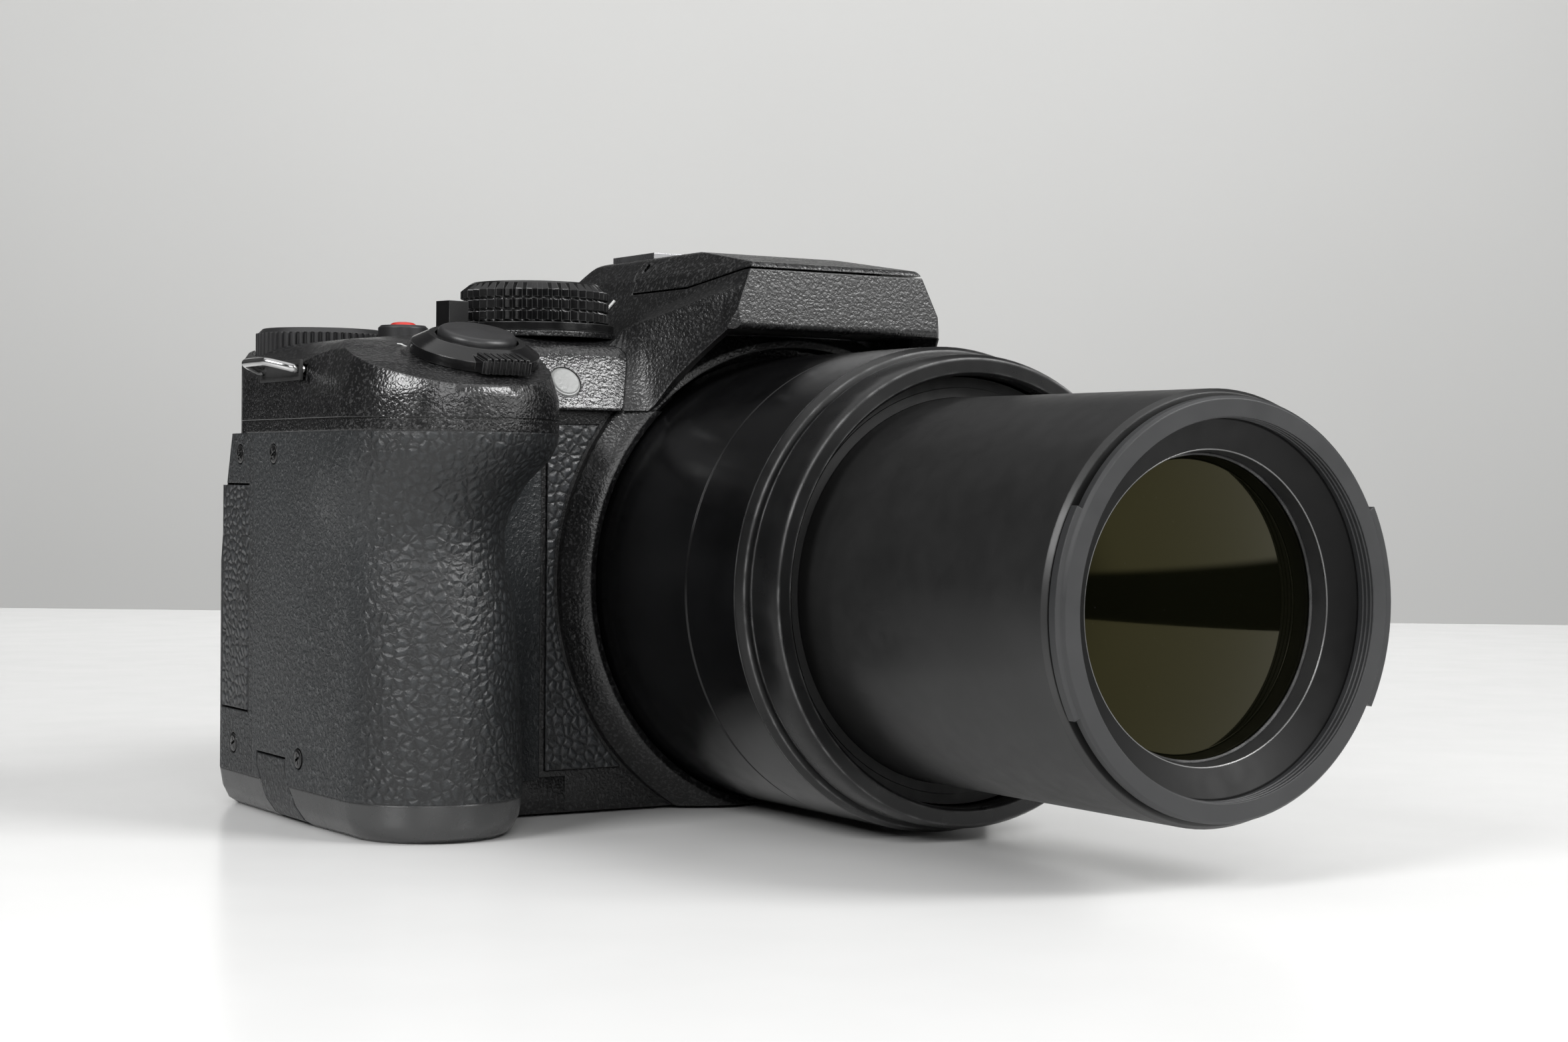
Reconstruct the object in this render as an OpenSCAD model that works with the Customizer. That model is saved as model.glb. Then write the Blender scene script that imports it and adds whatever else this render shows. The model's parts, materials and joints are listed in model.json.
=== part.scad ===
// Bridge camera with a collapsible zoom lens, shown with the zoom run out.
// Lengths are millimetres. Work is done from the lens axis (X), the barrel's front rim (Y, back is plus)
// and the base (Z). Every piece is then shifted so that the tripod socket's mouth is the origin.

/* [Body] */
// Width over the body shells
body_w = 131.6; // [130.6:0.2:134]
// Lens axis to the flank away from the grip
flank_x = 47.6; // [47.2:0.2:49]
// Barrel rim to the front plane of the body
front_y = 55.5; // [55:0.1:56.5]
// Barrel rim to the back plane of the body
back_y = 100; // [99.5:0.1:102]
// Height of the lens axis above the base
lens_z = 37.7; // [37.7:0.1:38.6]
// Height of the seam under the top cover
seam_z = 61; // [60.4:0.1:61.6]
// Height of the dial deck
deck_z = 77.4; // [76.8:0.1:78.4]
// Height of the roof over the flash
roof_z = 92.6; // [92:0.1:95]
// Wall of the moulded covers
wall = 2; // [1.8:0.1:2.2]
// Wall of the grip moulding
grip_wall = 2.5; // [2.2:0.1:2.8]

/* [Lens] */
// Radius of the fixed barrel
barrel_r = 37.3; // [37:0.1:37.6]
// Radius of the opening in the barrel's front rim
mouth_r = 32.7; // [32.7:0.1:33]
// Radius of the moving zoom tube
tube_r = 29.4; // [28.8:0.1:29.4]
// Minor radius of the 52 mm filter thread
thread_r = 25.6; // [25.4:0.05:25.8]
// Reach of the zoom tube in front of the rim, run out
zoom_out = 54.6; // [53:0.2:56]
// Travel of the zoom tube
zoom_travel = 52; // [48:0.5:52]
// Turn of the cam ring over the whole travel, degrees
cam_turn = 80; // [70:1:84]
// Radius of the three follower pins
pin_r = 1.2; // [1.1:0.05:1.3]

/* [Controls] */
// Radius of the mode dial
mode_r = 12.4; // [11.8:0.1:12.6]
// Height of the mode dial
mode_h = 6.7; // [6:0.1:7.5]
// Radius of the rear dial
rear_r = 10.8; // [10:0.1:10.9]
// Forward lean of the shutter button, degrees
shutter_lean = 17; // [16:0.5:18]
// Radius of the shutter button
shutter_r = 6.1; // [5.6:0.1:6.2]
// Stroke of the push buttons
stroke = 0.8; // [0.6:0.1:0.9]

/* [Fits] */
// Gap between a turning shaft and its bore
run_fit = 0.06; // [0.04:0.01:0.09]
// Gap between pieces that move past each other
gap = 0.35; // [0.3:0.05:0.4]
// Thread hole of the tripod socket, radius
tripod_r = 2.55; // [2.5:0.05:2.6]
// Depth of the tripod thread
tripod_depth = 6; // [5:0.5:7]

/* [Hidden] */
$fn = 64;
eps = 0.01;
socket_x = -14;
socket_y = 76;
grip_x = flank_x - body_w;

// Plane geometry

function unit(v) = v / norm(v);
function turn(a) = [cos(a), sin(a)];
function wrap(a) = a > 180 ? a - 360 : a < -180 ? a + 360 : a;
function arc(c, r, a0, a1, n) = [for (i = [0:n]) c + r * turn(a0 + (a1 - a0) * i / n)];
function bend(a, b, c, d, n) =
    [for (i = [1:n]) let(t = i / n, s = 1 - t)
        s * s * s * a + 3 * s * s * t * b + 3 * s * t * t * c + t * t * t * d];

// Corner q between p and s, rounded with radius r
function corner(p, q, s, r, n) =
    let(u = unit(p - q), v = unit(s - q), half = acos(u * v) / 2, c = q + unit(u + v) * r / sin(half),
        a = q + u * r / tan(half) - c, b = q + v * r / tan(half) - c,
        a0 = atan2(a[1], a[0]), a1 = a0 + wrap(atan2(b[1], b[0]) - a0))
    r <= 0 ? [q] : arc(c, r, a0, a1, n);
function flat2(p) = [p[0], p[1]];
// Closed outline from points [x, y, radius]
function rounded(p, n = 5) =
    [for (i = [0:len(p) - 1]) let(k = len(p))
        each corner(flat2(p[(i + k - 1) % k]), flat2(p[i]), flat2(p[(i + 1) % k]), p[i][2], n)];
// Outline moved inwards by t, counter-clockwise outlines
function side_normal(a, b) = let(d = unit(b - a)) [-d[1], d[0]];
function inset(p, t) =
    [for (i = [0:len(p) - 1]) let(k = len(p), m = side_normal(p[(i + k - 1) % k], p[i]),
        n = side_normal(p[i], p[(i + 1) % k])) p[i] + (m + n) * t / (1 + m * n)];
// Open path thickened to its left by t
function path_normal(p, i) = side_normal(p[max(0, i - 1)], p[min(len(p) - 1, i + 1)]);
function thick(p, t) =
    concat(p, [for (i = [len(p) - 1:-1:0]) p[i] + path_normal(p, i) * t]);
// Closed outline without repeated points
function ring(p) = [for (i = [0:len(p) - 1]) if (norm(p[i] - p[(i + 1) % len(p)]) > 0.001) p[i]];
function lift(p, z) = [for (c = p) [c[0], c[1], z]];

// Skin over closed rings of equal count, given bottom to top; a strip has its ends closed across the wall
module skin(rings, strip = false) {
    n = len(rings[0]);
    m = len(rings);
    top = (m - 1) * n;
    floors = strip ? [for (i = [0:n / 2 - 2]) each [[i, i + 1, n - 2 - i], [i, n - 2 - i, n - 1 - i]]]
        : [[for (i = [0:n - 1]) i]];
    sides = [for (k = [0:m - 2]) for (i = [0:n - 1]) let(a = k * n + i, b = k * n + (i + 1) % n)
        each [[a, a + n, b + n], [a, b + n, b]]];
    polyhedron([for (r = rings) each r],
        concat(floors, sides, [for (f = floors) [for (i = [len(f) - 1:-1:0]) top + f[i]]]), 12);
}

// Frames

module place() translate([-socket_x, -socket_y, 0]) children();
module on_lens(y = 0) translate([0, y, lens_z]) rotate([-90, 0, 0]) children();
module along_x(x, y, z) translate([x, y, z]) rotate([0, 90, 0]) children();
module along_y(x, y, z) translate([x, y, z]) rotate([-90, 0, 0]) children();
module box(a, b) translate(a) cube(b - a);
// A profile in Y and Z, swept from x0 to x1
module sweep_x(x0, x1, p) translate([x0, 0, 0]) rotate([90, 0, 90]) linear_extrude(x1 - x0) polygon(p);
// A profile in X and Z, swept from y0 to y1
module sweep_y(y0, y1, p) translate([0, y1, 0]) rotate([90, 0, 0]) linear_extrude(y1 - y0) polygon(p);
module sweep_z(z0, z1, p) translate([0, 0, z0]) linear_extrude(z1 - z0) polygon(p);
module tube(r1, r2, h) difference() {
    cylinder(r = r1, h = h);
    translate([0, 0, -1]) cylinder(r = r2, h = h + 2);
}

// Body outline

base_h = 6;
base_in = 3;
join_x = -45.5;
corner_r = 8;
back_r = 5;
side_seam = 81;
flank_seam = 84;
nose_zs = [base_h, 14, 26, 34, 41, 46, 50, 53.7, 57.2, 59.2, seam_z];

// Nose of the grip at height z: centre x, centre y, radius
function nose_cx(z) = grip_x + lookup(z, [[0, 15], [34, 14.6], [42, 14.2], [47, 14.2], [52, 14.6],
    [57.5, 17], [60, 17.7]]);
function nose_cy(z) = lookup(z, [[0, 46], [20, 45.6], [34, 46.4], [42, 48], [48, 49], [53, 48.6],
    [57.5, 47.6], [60, 47.5]]);
function nose_r(z) = lookup(z, [[0, 14.4], [14, 14.2], [26, 13.6], [34, 13.4], [41, 12.9], [46, 13.1],
    [50, 14.2],
    [53.7, 15.6], [57.5, 17.4], [60, 17.7]]);

// Grip side of the outline, from the side seam round the nose to the front plane
function grip_path(z, n = 22, m = 6) =
    let(c = [nose_cx(z), nose_cy(z)], r = nose_r(z), a = [grip_x, side_seam], b = [grip_x, 66],
        s = c + r * turn(186), e = c + r * turn(356), j = [join_x, front_y])
    concat([a, b], bend(b, b + [0, -7], s + [0, 6], s, m), arc(c, r, 192, 356, n),
        bend(e, e + [0, 6], j - [2.5, 0], j, m + 1));
back_corner = concat([[flank_x, flank_seam]], corner([flank_x, 50], [flank_x, back_y], [0, back_y],
    corner_r, 7));
function back_path(r) =
    concat(back_corner, corner([0, back_y], [grip_x, back_y], [grip_x, 60], r, 8), [[grip_x, side_seam]]);
front_inner = front_y + 2.7;
base_plan = ring(concat(grip_path(base_h), [[join_x + 3, front_inner], [flank_x - 3, front_inner]],
    [[flank_x, front_inner + 3]], back_path(back_r)));

// Battery room

cell_x0 = grip_x + 6;
cell_w = 16;
cell_y0 = 58.5;
cell_l = 30;
cell_z0 = 2.6;
cell_h = 43;
card_x0 = cell_x0 + cell_w + 1.5;
room_x1 = card_x0 + 3.4;
door_x0 = cell_x0 - 0.6;
door_x1 = room_x1 - 1;
door_y0 = cell_y0 - 1;
door_y1 = cell_y0 + cell_l + 1;
door_t = 2;
hinge_r = 1.2;
hinge_x = door_x1 + 1.4;

module bottom_cover() color([0.16, 0.17, 0.18]) place() {
    difference() {
        skin([lift(inset(base_plan, base_in), 0), lift(inset(base_plan, 1.5), 1),
            lift(inset(base_plan, 0.5), 3),
            lift(base_plan, base_h)]);
        box([join_x - 1, front_inner + 3, 2], [socket_x - 13, back_y - 4, base_h + 1]);
        box([socket_x + 13, front_inner + 3, 2], [flank_x - 4, back_y - 4, base_h + 1]);
        box([socket_x - 14, socket_y + 10, 2], [socket_x + 14, back_y - 4, base_h + 1]);
        box([grip_x + 3.6, 52, 2], [join_x - 0.5, back_y - 6, base_h + 1]);
        on_lens(50) cylinder(r = neck_r + 0.4, h = plate_y - 49.6, $fn = 128);
        translate([socket_x, socket_y, -1]) cylinder(r = 6, h = 10);
        box([door_x0 - gap, door_y0 - gap, -1], [door_x1 + gap, door_y1 + gap, 4]);
        box([door_x1, door_y0 - gap, -1], [hinge_x + hinge_r + 0.9, door_y1 + gap, 4]);
        flap_body(gap, 1);
        for (p = base_screws) translate([p[0], p[1], -1]) cylinder(r = 1.8, h = 1.9);
    }
    for (y = [door_y0 + 2, door_y1 - 4.2]) difference() {
        box([hinge_x - 1.2, y, 0.4], [hinge_x + 4, y + 2.2, 3.4]);
        along_y(hinge_x, y - 1, 1.6) cylinder(r = 0.6 + run_fit, h = 5, $fn = 32);
        box([hinge_x - 3, y - 1, -1], [hinge_x - 0.01, y + 4, 0.9]);
    }
}

base_screws = [[-44, 64], [36, 64], [36, 92], [-44, 92]];

module battery_door() color([0.17, 0.18, 0.19]) place() {
    difference() {
        sweep_z(0.15, door_t, rounded([[door_x0, door_y0, 2], [door_x1, door_y0, 0.5],
            [door_x1, door_y1, 0.5],
            [door_x0, door_y1, 2]]));
        box([latch_x - 6.4, latch_y - 4.4, -1], [latch_x + 3.4, latch_y + 4.4, 1.1]);
        for (y = [door_y0 + 1.6, door_y1 - 4.6]) box([door_x1 - 1.8, y, -1], [door_x1 + 1, y + 3, 4]);
    }
    along_y(hinge_x, door_y0 + 4.6, 1.6) cylinder(r = hinge_r, h = door_y1 - door_y0 - 9.2, $fn = 32);
    box([door_x1 - 1, door_y0 + 4.6, 0.8], [hinge_x, door_y1 - 4.6, door_t]);
    along_y(hinge_x, door_y0 + 1.9, 1.6) cylinder(r = 0.6, h = door_y1 - door_y0 - 3.8, $fn = 32);
}

latch_x = door_x0 + 8;
latch_y = cell_y0 + cell_l / 2;

module battery_latch() color([0.2, 0.21, 0.22]) place() {
    box([latch_x - 3, latch_y - 4.3, 0.3], [latch_x + 3, latch_y + 4.3, 1.1]);
    for (i = [-2:2]) box([latch_x + i - 0.3, latch_y - 3, 0.05], [latch_x + i + 0.3, latch_y + 3, 0.4]);
}

module battery() color([0.12, 0.12, 0.13]) place()
    sweep_z(cell_z0, cell_z0 + cell_h, rounded([[cell_x0, cell_y0, 3], [cell_x0 + cell_w, cell_y0, 3],
        [cell_x0 + cell_w, cell_y0 + cell_l, 3], [cell_x0, cell_y0 + cell_l, 3]]));

module memory_card() color([0.1, 0.12, 0.2]) place()
    sweep_x(card_x0, card_x0 + 2.1, [[cell_y0 + 5, 5], [cell_y0 + 29, 5], [cell_y0 + 29, 37],
        [cell_y0 + 9, 37],
        [cell_y0 + 5, 33]]);

module battery_box() color([0.2, 0.2, 0.2]) place() difference() {
    box([cell_x0 - 1.3, cell_y0 - 1.3, base_h], [room_x1, cell_y0 + cell_l + 1.3, cell_z0 + cell_h + 1.2]);
    box([cell_x0 - 0.3, cell_y0 - 0.3, 0], [cell_x0 + cell_w + 0.3, cell_y0 + cell_l + 0.3,
        cell_z0 + cell_h]);
    box([card_x0 - 0.1, cell_y0 + 4.8, 0], [card_x0 + 2.2, cell_y0 + 29.2, 37]);
}

// Grip and shells

side_screws = [[87.2, 57.6], [72.4, 57.6], [89.6, 10.6], [61.3, 10.6]];
module side_screw_holes() for (s = side_screws) along_x(grip_x - 1, s[0], s[1])
    cylinder(r = 1.7, h = 2.2, $fn = 32);

module grip_cover() color([0.2, 0.21, 0.22]) place() difference() {
    skin([for (z = nose_zs) lift(thick(grip_path(z), grip_wall), z)], true);
    flap_body(gap, 1);
    flap_pin(0.45 + run_fit, flap_y1 - flap_y0 + 2.2);
    side_screw_holes();
}

collar_r = barrel_r + 5.3;
// Opening of the barrel, wide enough for the tube and its rings
stack = barrel_r - tube_r;
rim_r = min(max(mouth_r, tube_r + 0.35 * stack), barrel_r - 0.3 * stack);
// Share k of the wall from that opening to the outside
function rim(k) = rim_r + k * (barrel_r - rim_r);
collar = [[barrel_r + 0.4, 51.4], [barrel_r + 1.6, 50.8], [barrel_r + 2.6, 51.2], [collar_r, front_y - 1.4],
    [collar_r, front_y + eps], [barrel_r + 0.4, front_y + eps]];
neck_r = rim(0.5435);
lower_front = 0.5;
ledge_z = seam_z + 4.2;

module front_cover() color([0.11, 0.11, 0.12]) place() {
    difference() {
        union() {
            sweep_z(base_h, ledge_z, thick(concat([[join_x, front_y]],
                corner([0, front_y], [flank_x, front_y], [flank_x, 99], corner_r, 6),
                    [[flank_x, flank_seam]]), 2.2));
            box([-41.8, front_y, lower_front], [flank_x - 4, front_y + 2.5, base_h + 2]);
            intersection() {
                on_lens() rotate_extrude($fn = 128) polygon(collar);
                box([-80, 0, lower_front], [80, 80, ledge_z]);
            }
            box([flank_x - 4.4, mic_y - 1, mic_z - 2], [flank_x - 1.9, mic_y + mic_w + 1, mic_z + mic_h + 2]);
        }
        on_lens(front_y - 1) cylinder(r = neck_r + run_fit, h = 5, $fn = 128);
        leather_body(0.1);
        flank_door_cut();
        along_x(flank_x - 5, mic_y + mic_w * 0.5, mic_z + mic_h * 0.5) cylinder(r = 1.8, h = 4, $fn = 32);
        for (i = [-1:1]) for (k = [0:2]) along_x(flank_x - 4, 72 + 2.5 * i, 24 + 2.5 * k)
            cylinder(r = 0.6, h = 6, $fn = 24);
    }
}

panel_top = seam_z + 1.8;
panel_low = base_h + 1.4;
module leather_body(d) {
    r = collar_r + 0.7 - d;
    a0 = 180 + asin((lens_z - panel_low + d) / r);
    a1 = 180 - asin((panel_top + d - lens_z) / r);
    sweep_y(front_y - 0.3 - d, front_y + 0.8, concat([for (q = arc([0, lens_z], r, a0, a1, 14)) q],
        [[join_x + 1 - d, panel_top + d], [join_x + 1 - d, panel_low - d]]));
}

module front_leather() color([0.22, 0.23, 0.24]) place() leather_body(0);

// Screen recess in the back
lcd_x0 = -36;
lcd_x1 = flank_x - 7.3;
lcd_z0 = 8.6;
lcd_z1 = seam_z - 1.8;
lcd_floor = back_y - 5;
hinge_sx = flank_x - 4.1;
hinge_sy = back_y - 2.2;
port_y = 83;
port_w = 12;
port_z = 16.4;
port_h = 36.2;

module rear_cover() color([0.11, 0.11, 0.12]) place() {
    difference() {
        union() {
            skin([for (k = [[base_h, back_r], [40, back_r], [50, back_r + 2.2], [seam_z, back_r + 6]])
                lift(thick(back_path(k[1]), wall), k[0])], true);
            box([lcd_x0 - 2, lcd_floor - 2, lcd_z0 - 2], [flank_x - 1, back_y - 1, lcd_z1 + 1.6]);
            box([grip_x + 2, port_y - 1, port_z - 2], [grip_x + 4.2, port_y + port_w, port_z + port_h + 2]);
        }
        box([lcd_x0, lcd_floor, lcd_z0], [flank_x + 2, back_y + 2, lcd_z1]);
        translate([hinge_sx, hinge_sy, lcd_z0 + 4]) cylinder(r = 4.8, h = lcd_z1 - lcd_z0 - 8);
        side_screw_holes();
        port_door_cut();
        for (z = [[22, 9], [34, 8], [44, 5]])
            box([grip_x, port_y + 3, z[0]], [grip_x + 3.6, port_y + 7, z[0] + z[1]]);
        for (b = back_buttons) along_y(b[0], back_y - 8, b[1]) cylinder(r = b[2] + run_fit, h = 12, $fn = 48);
        along_y(pad_x, back_y - 8, pad_z) cylinder(r = 2 + run_fit, h = 12, $fn = 32);
        for (s = [-1, 1]) along_y(pad_x + s * 8.2, back_y - 8, pad_z)
            cylinder(r = 1 + run_fit, h = 12, $fn = 32);
    }
    // Pivot ears of the screen hinge
    for (z = [lcd_z0 - eps, lcd_z1 - 3 + eps]) difference() {
        union() {
            translate([hinge_sx, hinge_sy, z]) cylinder(r = 2.6, h = 3, $fn = 48);
            box([hinge_sx - 2.6, lcd_floor - 1, z], [hinge_sx + 2.6, hinge_sy, z + 3]);
        }
        translate([hinge_sx, hinge_sy, z - 1]) cylinder(r = 1.5 + run_fit, h = 5, $fn = 48);
    }
}

module thumb_rest() color([0.2, 0.21, 0.22]) place()
    sweep_y(back_y, back_y + 1.3, rounded([[grip_x + 12, 36, 4], [grip_x + 24, 36, 4], [grip_x + 24, 57, 4],
        [grip_x + 12, 57, 4]], 6));

// Doors on a flank: a plate whose hinge edge is a round bead

door_th = 1.6;
mic_y = flank_seam - 16;
mic_w = 11;
mic_z = 40;
mic_h = 14;
module flank_door_cut() {
    box([flank_x - 1.9, mic_y - gap, mic_z - gap], [flank_x + 1, mic_y + mic_w + gap, mic_z + mic_h + gap]);
    translate([flank_x - door_th / 2, mic_y + mic_w - 0.8, mic_z - 1.2])
        cylinder(r = 0.5 + run_fit, h = mic_h + 2.4, $fn = 24);
}
module port_door_cut() {
    box([grip_x - 1, port_y - gap, port_z - gap], [grip_x + 2, port_y + port_w + gap, port_z + port_h + gap]);
    translate([grip_x + door_th / 2, port_y + 0.8, port_z - 1.2])
        cylinder(r = 0.5 + run_fit, h = port_h + 2.4, $fn = 24);
}
module plate_door(x, y, w, z, h, hinge_at) {
    box([x, y + (hinge_at < 0 ? 0.8 : 0), z], [x + door_th, y + w - (hinge_at > 0 ? 0.8 : 0), z + h]);
    hy = hinge_at < 0 ? y + 0.8 : y + w - 0.8;
    translate([x + door_th / 2, hy, z]) cylinder(r = door_th / 2, h = h, $fn = 32);
    translate([x + door_th / 2, hy, z - 1.1]) cylinder(r = 0.5, h = h + 2.2, $fn = 24);
}

module terminal_door() color([0.2, 0.21, 0.22]) place()
    plate_door(grip_x, port_y, port_w, port_z, port_h, -1);
module mic_cover() color([0.15, 0.15, 0.16]) place()
    plate_door(flank_x - door_th, mic_y, mic_w, mic_z, mic_h, 1);

// Flap over the power inlet, following the flank
flap_y0 = 66.8;
flap_y1 = 78.6;
flap_pin_z = 9.4;
function flap_x(z) = grip_x + lookup(z, [[0, base_in], [1, 1.5], [3, 0.5], [base_h, 0], [20, 0]]);
flap_lean = 0.65;
flap_square = 8.2;
module flap_body(d, out) skin([for (z = [0.6, 1, 3, base_h - 0.5, flap_square, 10])
    let(h = z == 0.6 ? z - d : z == 10 ? z + d : z, x = flap_x(z),
        y0 = flap_y0 - flap_lean * max(0, flap_square - z),
        y1 = flap_y1 - flap_lean * max(0, flap_square - z))
    lift([[x - out, y0 - d], [x + 1.3 + d, y0 - d], [x + 1.3 + d, y1 + d], [x - out, y1 + d]], h)]);
module flap_pin(r, l) along_y(grip_x + 0.65, (flap_y0 + flap_y1) / 2 - l / 2, flap_pin_z)
    cylinder(r = r, h = l, $fn = 24);
module dc_flap() color([0.17, 0.18, 0.19]) place() {
    flap_body(0, 0);
    flap_pin(0.45, flap_y1 - flap_y0 + 1.8);
}

// Roof, deck and shoulders of the top cover

deck_front = [[29, 50, 0], [29.4, 67.4, 2.5], [42.5, 71.4, 12], [58, deck_z - 2, 20], [68, deck_z, 0],
    [88, deck_z, 14], [back_y + 0.5, 72, 5], [back_y + 0.5, 50, 0]];
deck_side = [[grip_x, 50, 0], [grip_x, 71, 3], [grip_x + 5, 75.2, 5], [-58, deck_z, 20], [-24, deck_z, 0],
    [-24, 50, 0]];
face_low = [front_y - 2.2, ledge_z + 0.5];
face_high = [58.6, deck_z - 2];
mid_front = [[face_low[0], 50, 0], [face_low[0], face_low[1], 0.8], [face_high[0], face_high[1], 5],
    [66, deck_z, 3], [88, deck_z, 14],
    [back_y + 0.5, 72, 5], [back_y + 0.5, 50, 0]];
mid_side = [[-52, 50, 0], [-52, deck_z, 0], [20, deck_z, 0], [27, 75.4, 5], [flank_x - 3.4, 70.6, 4],
    [flank_x, 67, 2], [flank_x, 50, 0]];
mid_plan = ring(concat([[-52, front_y - 2.2]],
    corner([0, front_y - 2.2], [flank_x, front_y - 2.2], [flank_x, 99], corner_r + 2, 6), back_corner,
    [[-52, back_y]]));
deck_end = [[-45, 64], [-30, 64], [-30, back_y]];
top_plan = ring(concat(grip_path(seam_z), deck_end,
    corner([0, back_y], [grip_x, back_y], [grip_x, 60], 16, 8), [[grip_x, side_seam]]));
top_room = ring(concat(grip_path(seam_z, 7, 3), deck_end,
    corner([0, back_y], [grip_x, back_y], [grip_x, 60], 16, 3), [[grip_x, side_seam]]));

function cw(p) = [for (i = [len(p) - 1:-1:0]) p[i]];
function flat_list(p) = [for (c = p) flat2(c)];
// Outline of a clockwise corner list, rounded outside and plain for the room inside
function outer(p) = rounded(p, 4);
function inner(p) = cw(inset(cw(flat_list(p)), wall));

// The nose of the grip is drawn in towards the top, and the back of the deck is not
function crown(z) = lookup(z, [[66, 0], [68.4, 0.7], [70.8, 1.5], [73.2, 2.7], [75.2, 4.2], [80, 8]]);
function deck_ring(z) = let(q = inset(top_plan, crown(z))) [for (i = [0:len(q) - 1])
    let(p = top_plan[i], c = p + (q[i] - p) * min(1, max(0, (66 - p[1]) / 8))) [c[0], c[1], z]];
module deck() intersection() {
    sweep_x(grip_x - 1, -30, outer(deck_front));
    sweep_y(0, 120, outer(deck_side));
    skin([for (z = [40, 66, 68.4, 70.8, 73.2, 75.2, 80]) deck_ring(z)]);
}
module deck_room() intersection() {
    sweep_x(grip_x - 1, -30, inner(deck_front));
    sweep_y(0, 120, inner(deck_side));
    sweep_z(40, 100, inset(top_room, wall + 1.8));
}
module shoulder() intersection() {
    sweep_x(-60, 60, outer(mid_front));
    sweep_y(0, 120, outer(mid_side));
    sweep_z(40, 100, mid_plan);
}
module shoulder_room() intersection() {
    sweep_x(-48, 60, inner(mid_front));
    sweep_y(0, 120, inner(mid_side));
}

// Share k of the height from the chin of the hump to its roof
chin_z = 78.3;
function hump(k) = chin_z + k * (roof_z - chin_z);
head_w = 11.5;
well_w = head_w + 2 * gap;
roof_side = [[37.9, chin_z, 1], [39.3, hump(0.762), 1.2], [62, roof_z, 30], [98, roof_z, 6],
    [103, roof_z - 6, 4],
    [103, 64, 2], [60, 64, 0], [56, chin_z, 0]];
roof_front = [[-26, 60, 0], [-24.4, 74, 0], [-21, 78, 0], [-16.6, hump(0.706), 2], [-13.2, roof_z, 2.5],
    [13.2, roof_z, 2.5], [16.6, hump(0.706), 2], [21, 78, 0], [24.4, 74, 0], [26, 60, 0]];
roof_plan = [[-18.2, 37, 1], [-20.6, 39.6, 2], [-25, 58, 3], [-25, 90, 10], [-19, 104, 3],
    [19, 104, 3], [25, 90, 10], [25, 58, 3], [20.6, 39.6, 2], [18.2, 37, 1]];
module roof() intersection() {
    sweep_x(-40, 40, outer(roof_side));
    sweep_y(0, 120, outer(roof_front));
    sweep_z(40, 100, outer(roof_plan));
}
module roof_room(t) intersection() {
    sweep_x(-40, 40, cw(inset(cw(flat_list(roof_side)), t)));
    sweep_y(0, 120, cw(inset(cw(flat_list(roof_front)), t)));
    sweep_z(40, 100, cw(inset(cw(flat_list(roof_plan)), t)));
}
// Collar over the top of the barrel
module brow() intersection() {
    on_lens() rotate_extrude($fn = 128) polygon([[barrel_r + 1.4, 51], [barrel_r + 2.6, 51.2],
        [collar_r, front_y - 1.4], [collar_r, 60], [barrel_r + 1.4, 60]]);
    box([-50, 0, ledge_z], [50, 120, chin_z + 4]);
}

// Hood that flows from the flash down to the left shoulder: lower edge, crease and top at each station
hood_edge = [[-20.7, 39.7, chin_z - 0.1], [-22.9, 44.4, 74.4], [-25.6, 48.2, 70.2], [-28.9, 50.6, ledge_z],
    [-32.2, 53, ledge_z], [-31, 60.5, deck_z - 1.4], [-23.4, 69, deck_z - 1.4]];
hood_crease = [[-18.1, 39.9, hump(0.4825)], [-21.6, 46, hump(0.3566)], [-24.4, 51.4, hump(0.22)],
    [-26.2, 55.4, hump(0.14)], [-27, 58.8, hump(0.098)], [-27.2, 63, hump(0.03)], [-21.8, 70, hump(0.021)]];
// Left side of the hump at height z
function side_x(z) = -21 + (z - 78) * 4.4 / (hump(0.706) - 78);
hood_rise = [[39.9, 0.65], [46.5, 0.58], [52, 0.51], [55.6, 0.46], [59, 0.42], [64.5, 0.343], [70, 0.28]];
hood_top = [for (q = hood_rise)
    [side_x(hump(q[1])) + 0.1, q[0], hump(q[1])]];
hood_deep = [3, 3, 3.4, 5, 8, 8, 4];
hollow = 0.5;

// Smooth value at t along a list of stations
function flow(p, t) = let(n = len(p) - 1, i = min(floor(t), n - 1), f = t - i,
    a = p[max(0, i - 1)], b = p[i], c = p[i + 1], d = p[min(n, i + 2)])
    b + (c - a) * f / 2 + (2 * a - 5 * b + 4 * c - d) * f * f / 2 + (3 * b - a - 3 * c + d) * f * f * f / 2;
function hood_ring(t) = let(e = flow(hood_edge, t), k = flow(hood_crease, t), l = flow(hood_top, t),
    d = flow(hood_deep, t), m = (e + k) / 2 + [hollow, hollow, 0], n = (k + l) / 2 + [hollow, 0, -hollow] / 2)
    [e, m, k, n, l,
        l + [2.2, 0.5, -1.2], n + [d / 2 + 1, 1.2, -1.4], k + [d, 2, -1.5],
        m + [d, 2.6, -0.5], e + [d, 3.2, 0.2]];
module hood() for (s = [0, 1]) mirror([s, 0, 0]) difference() {
    skin([for (t = [0:0.25:len(hood_edge) - 1]) hood_ring(t)], true);
    shoulder();
    box([-60, 0, 0], [60, 90, ledge_z]);
    translate([mode[0], mode[1], deck_z]) cylinder(r = mode_r + 1 + gap, h = 20);
}

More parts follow.
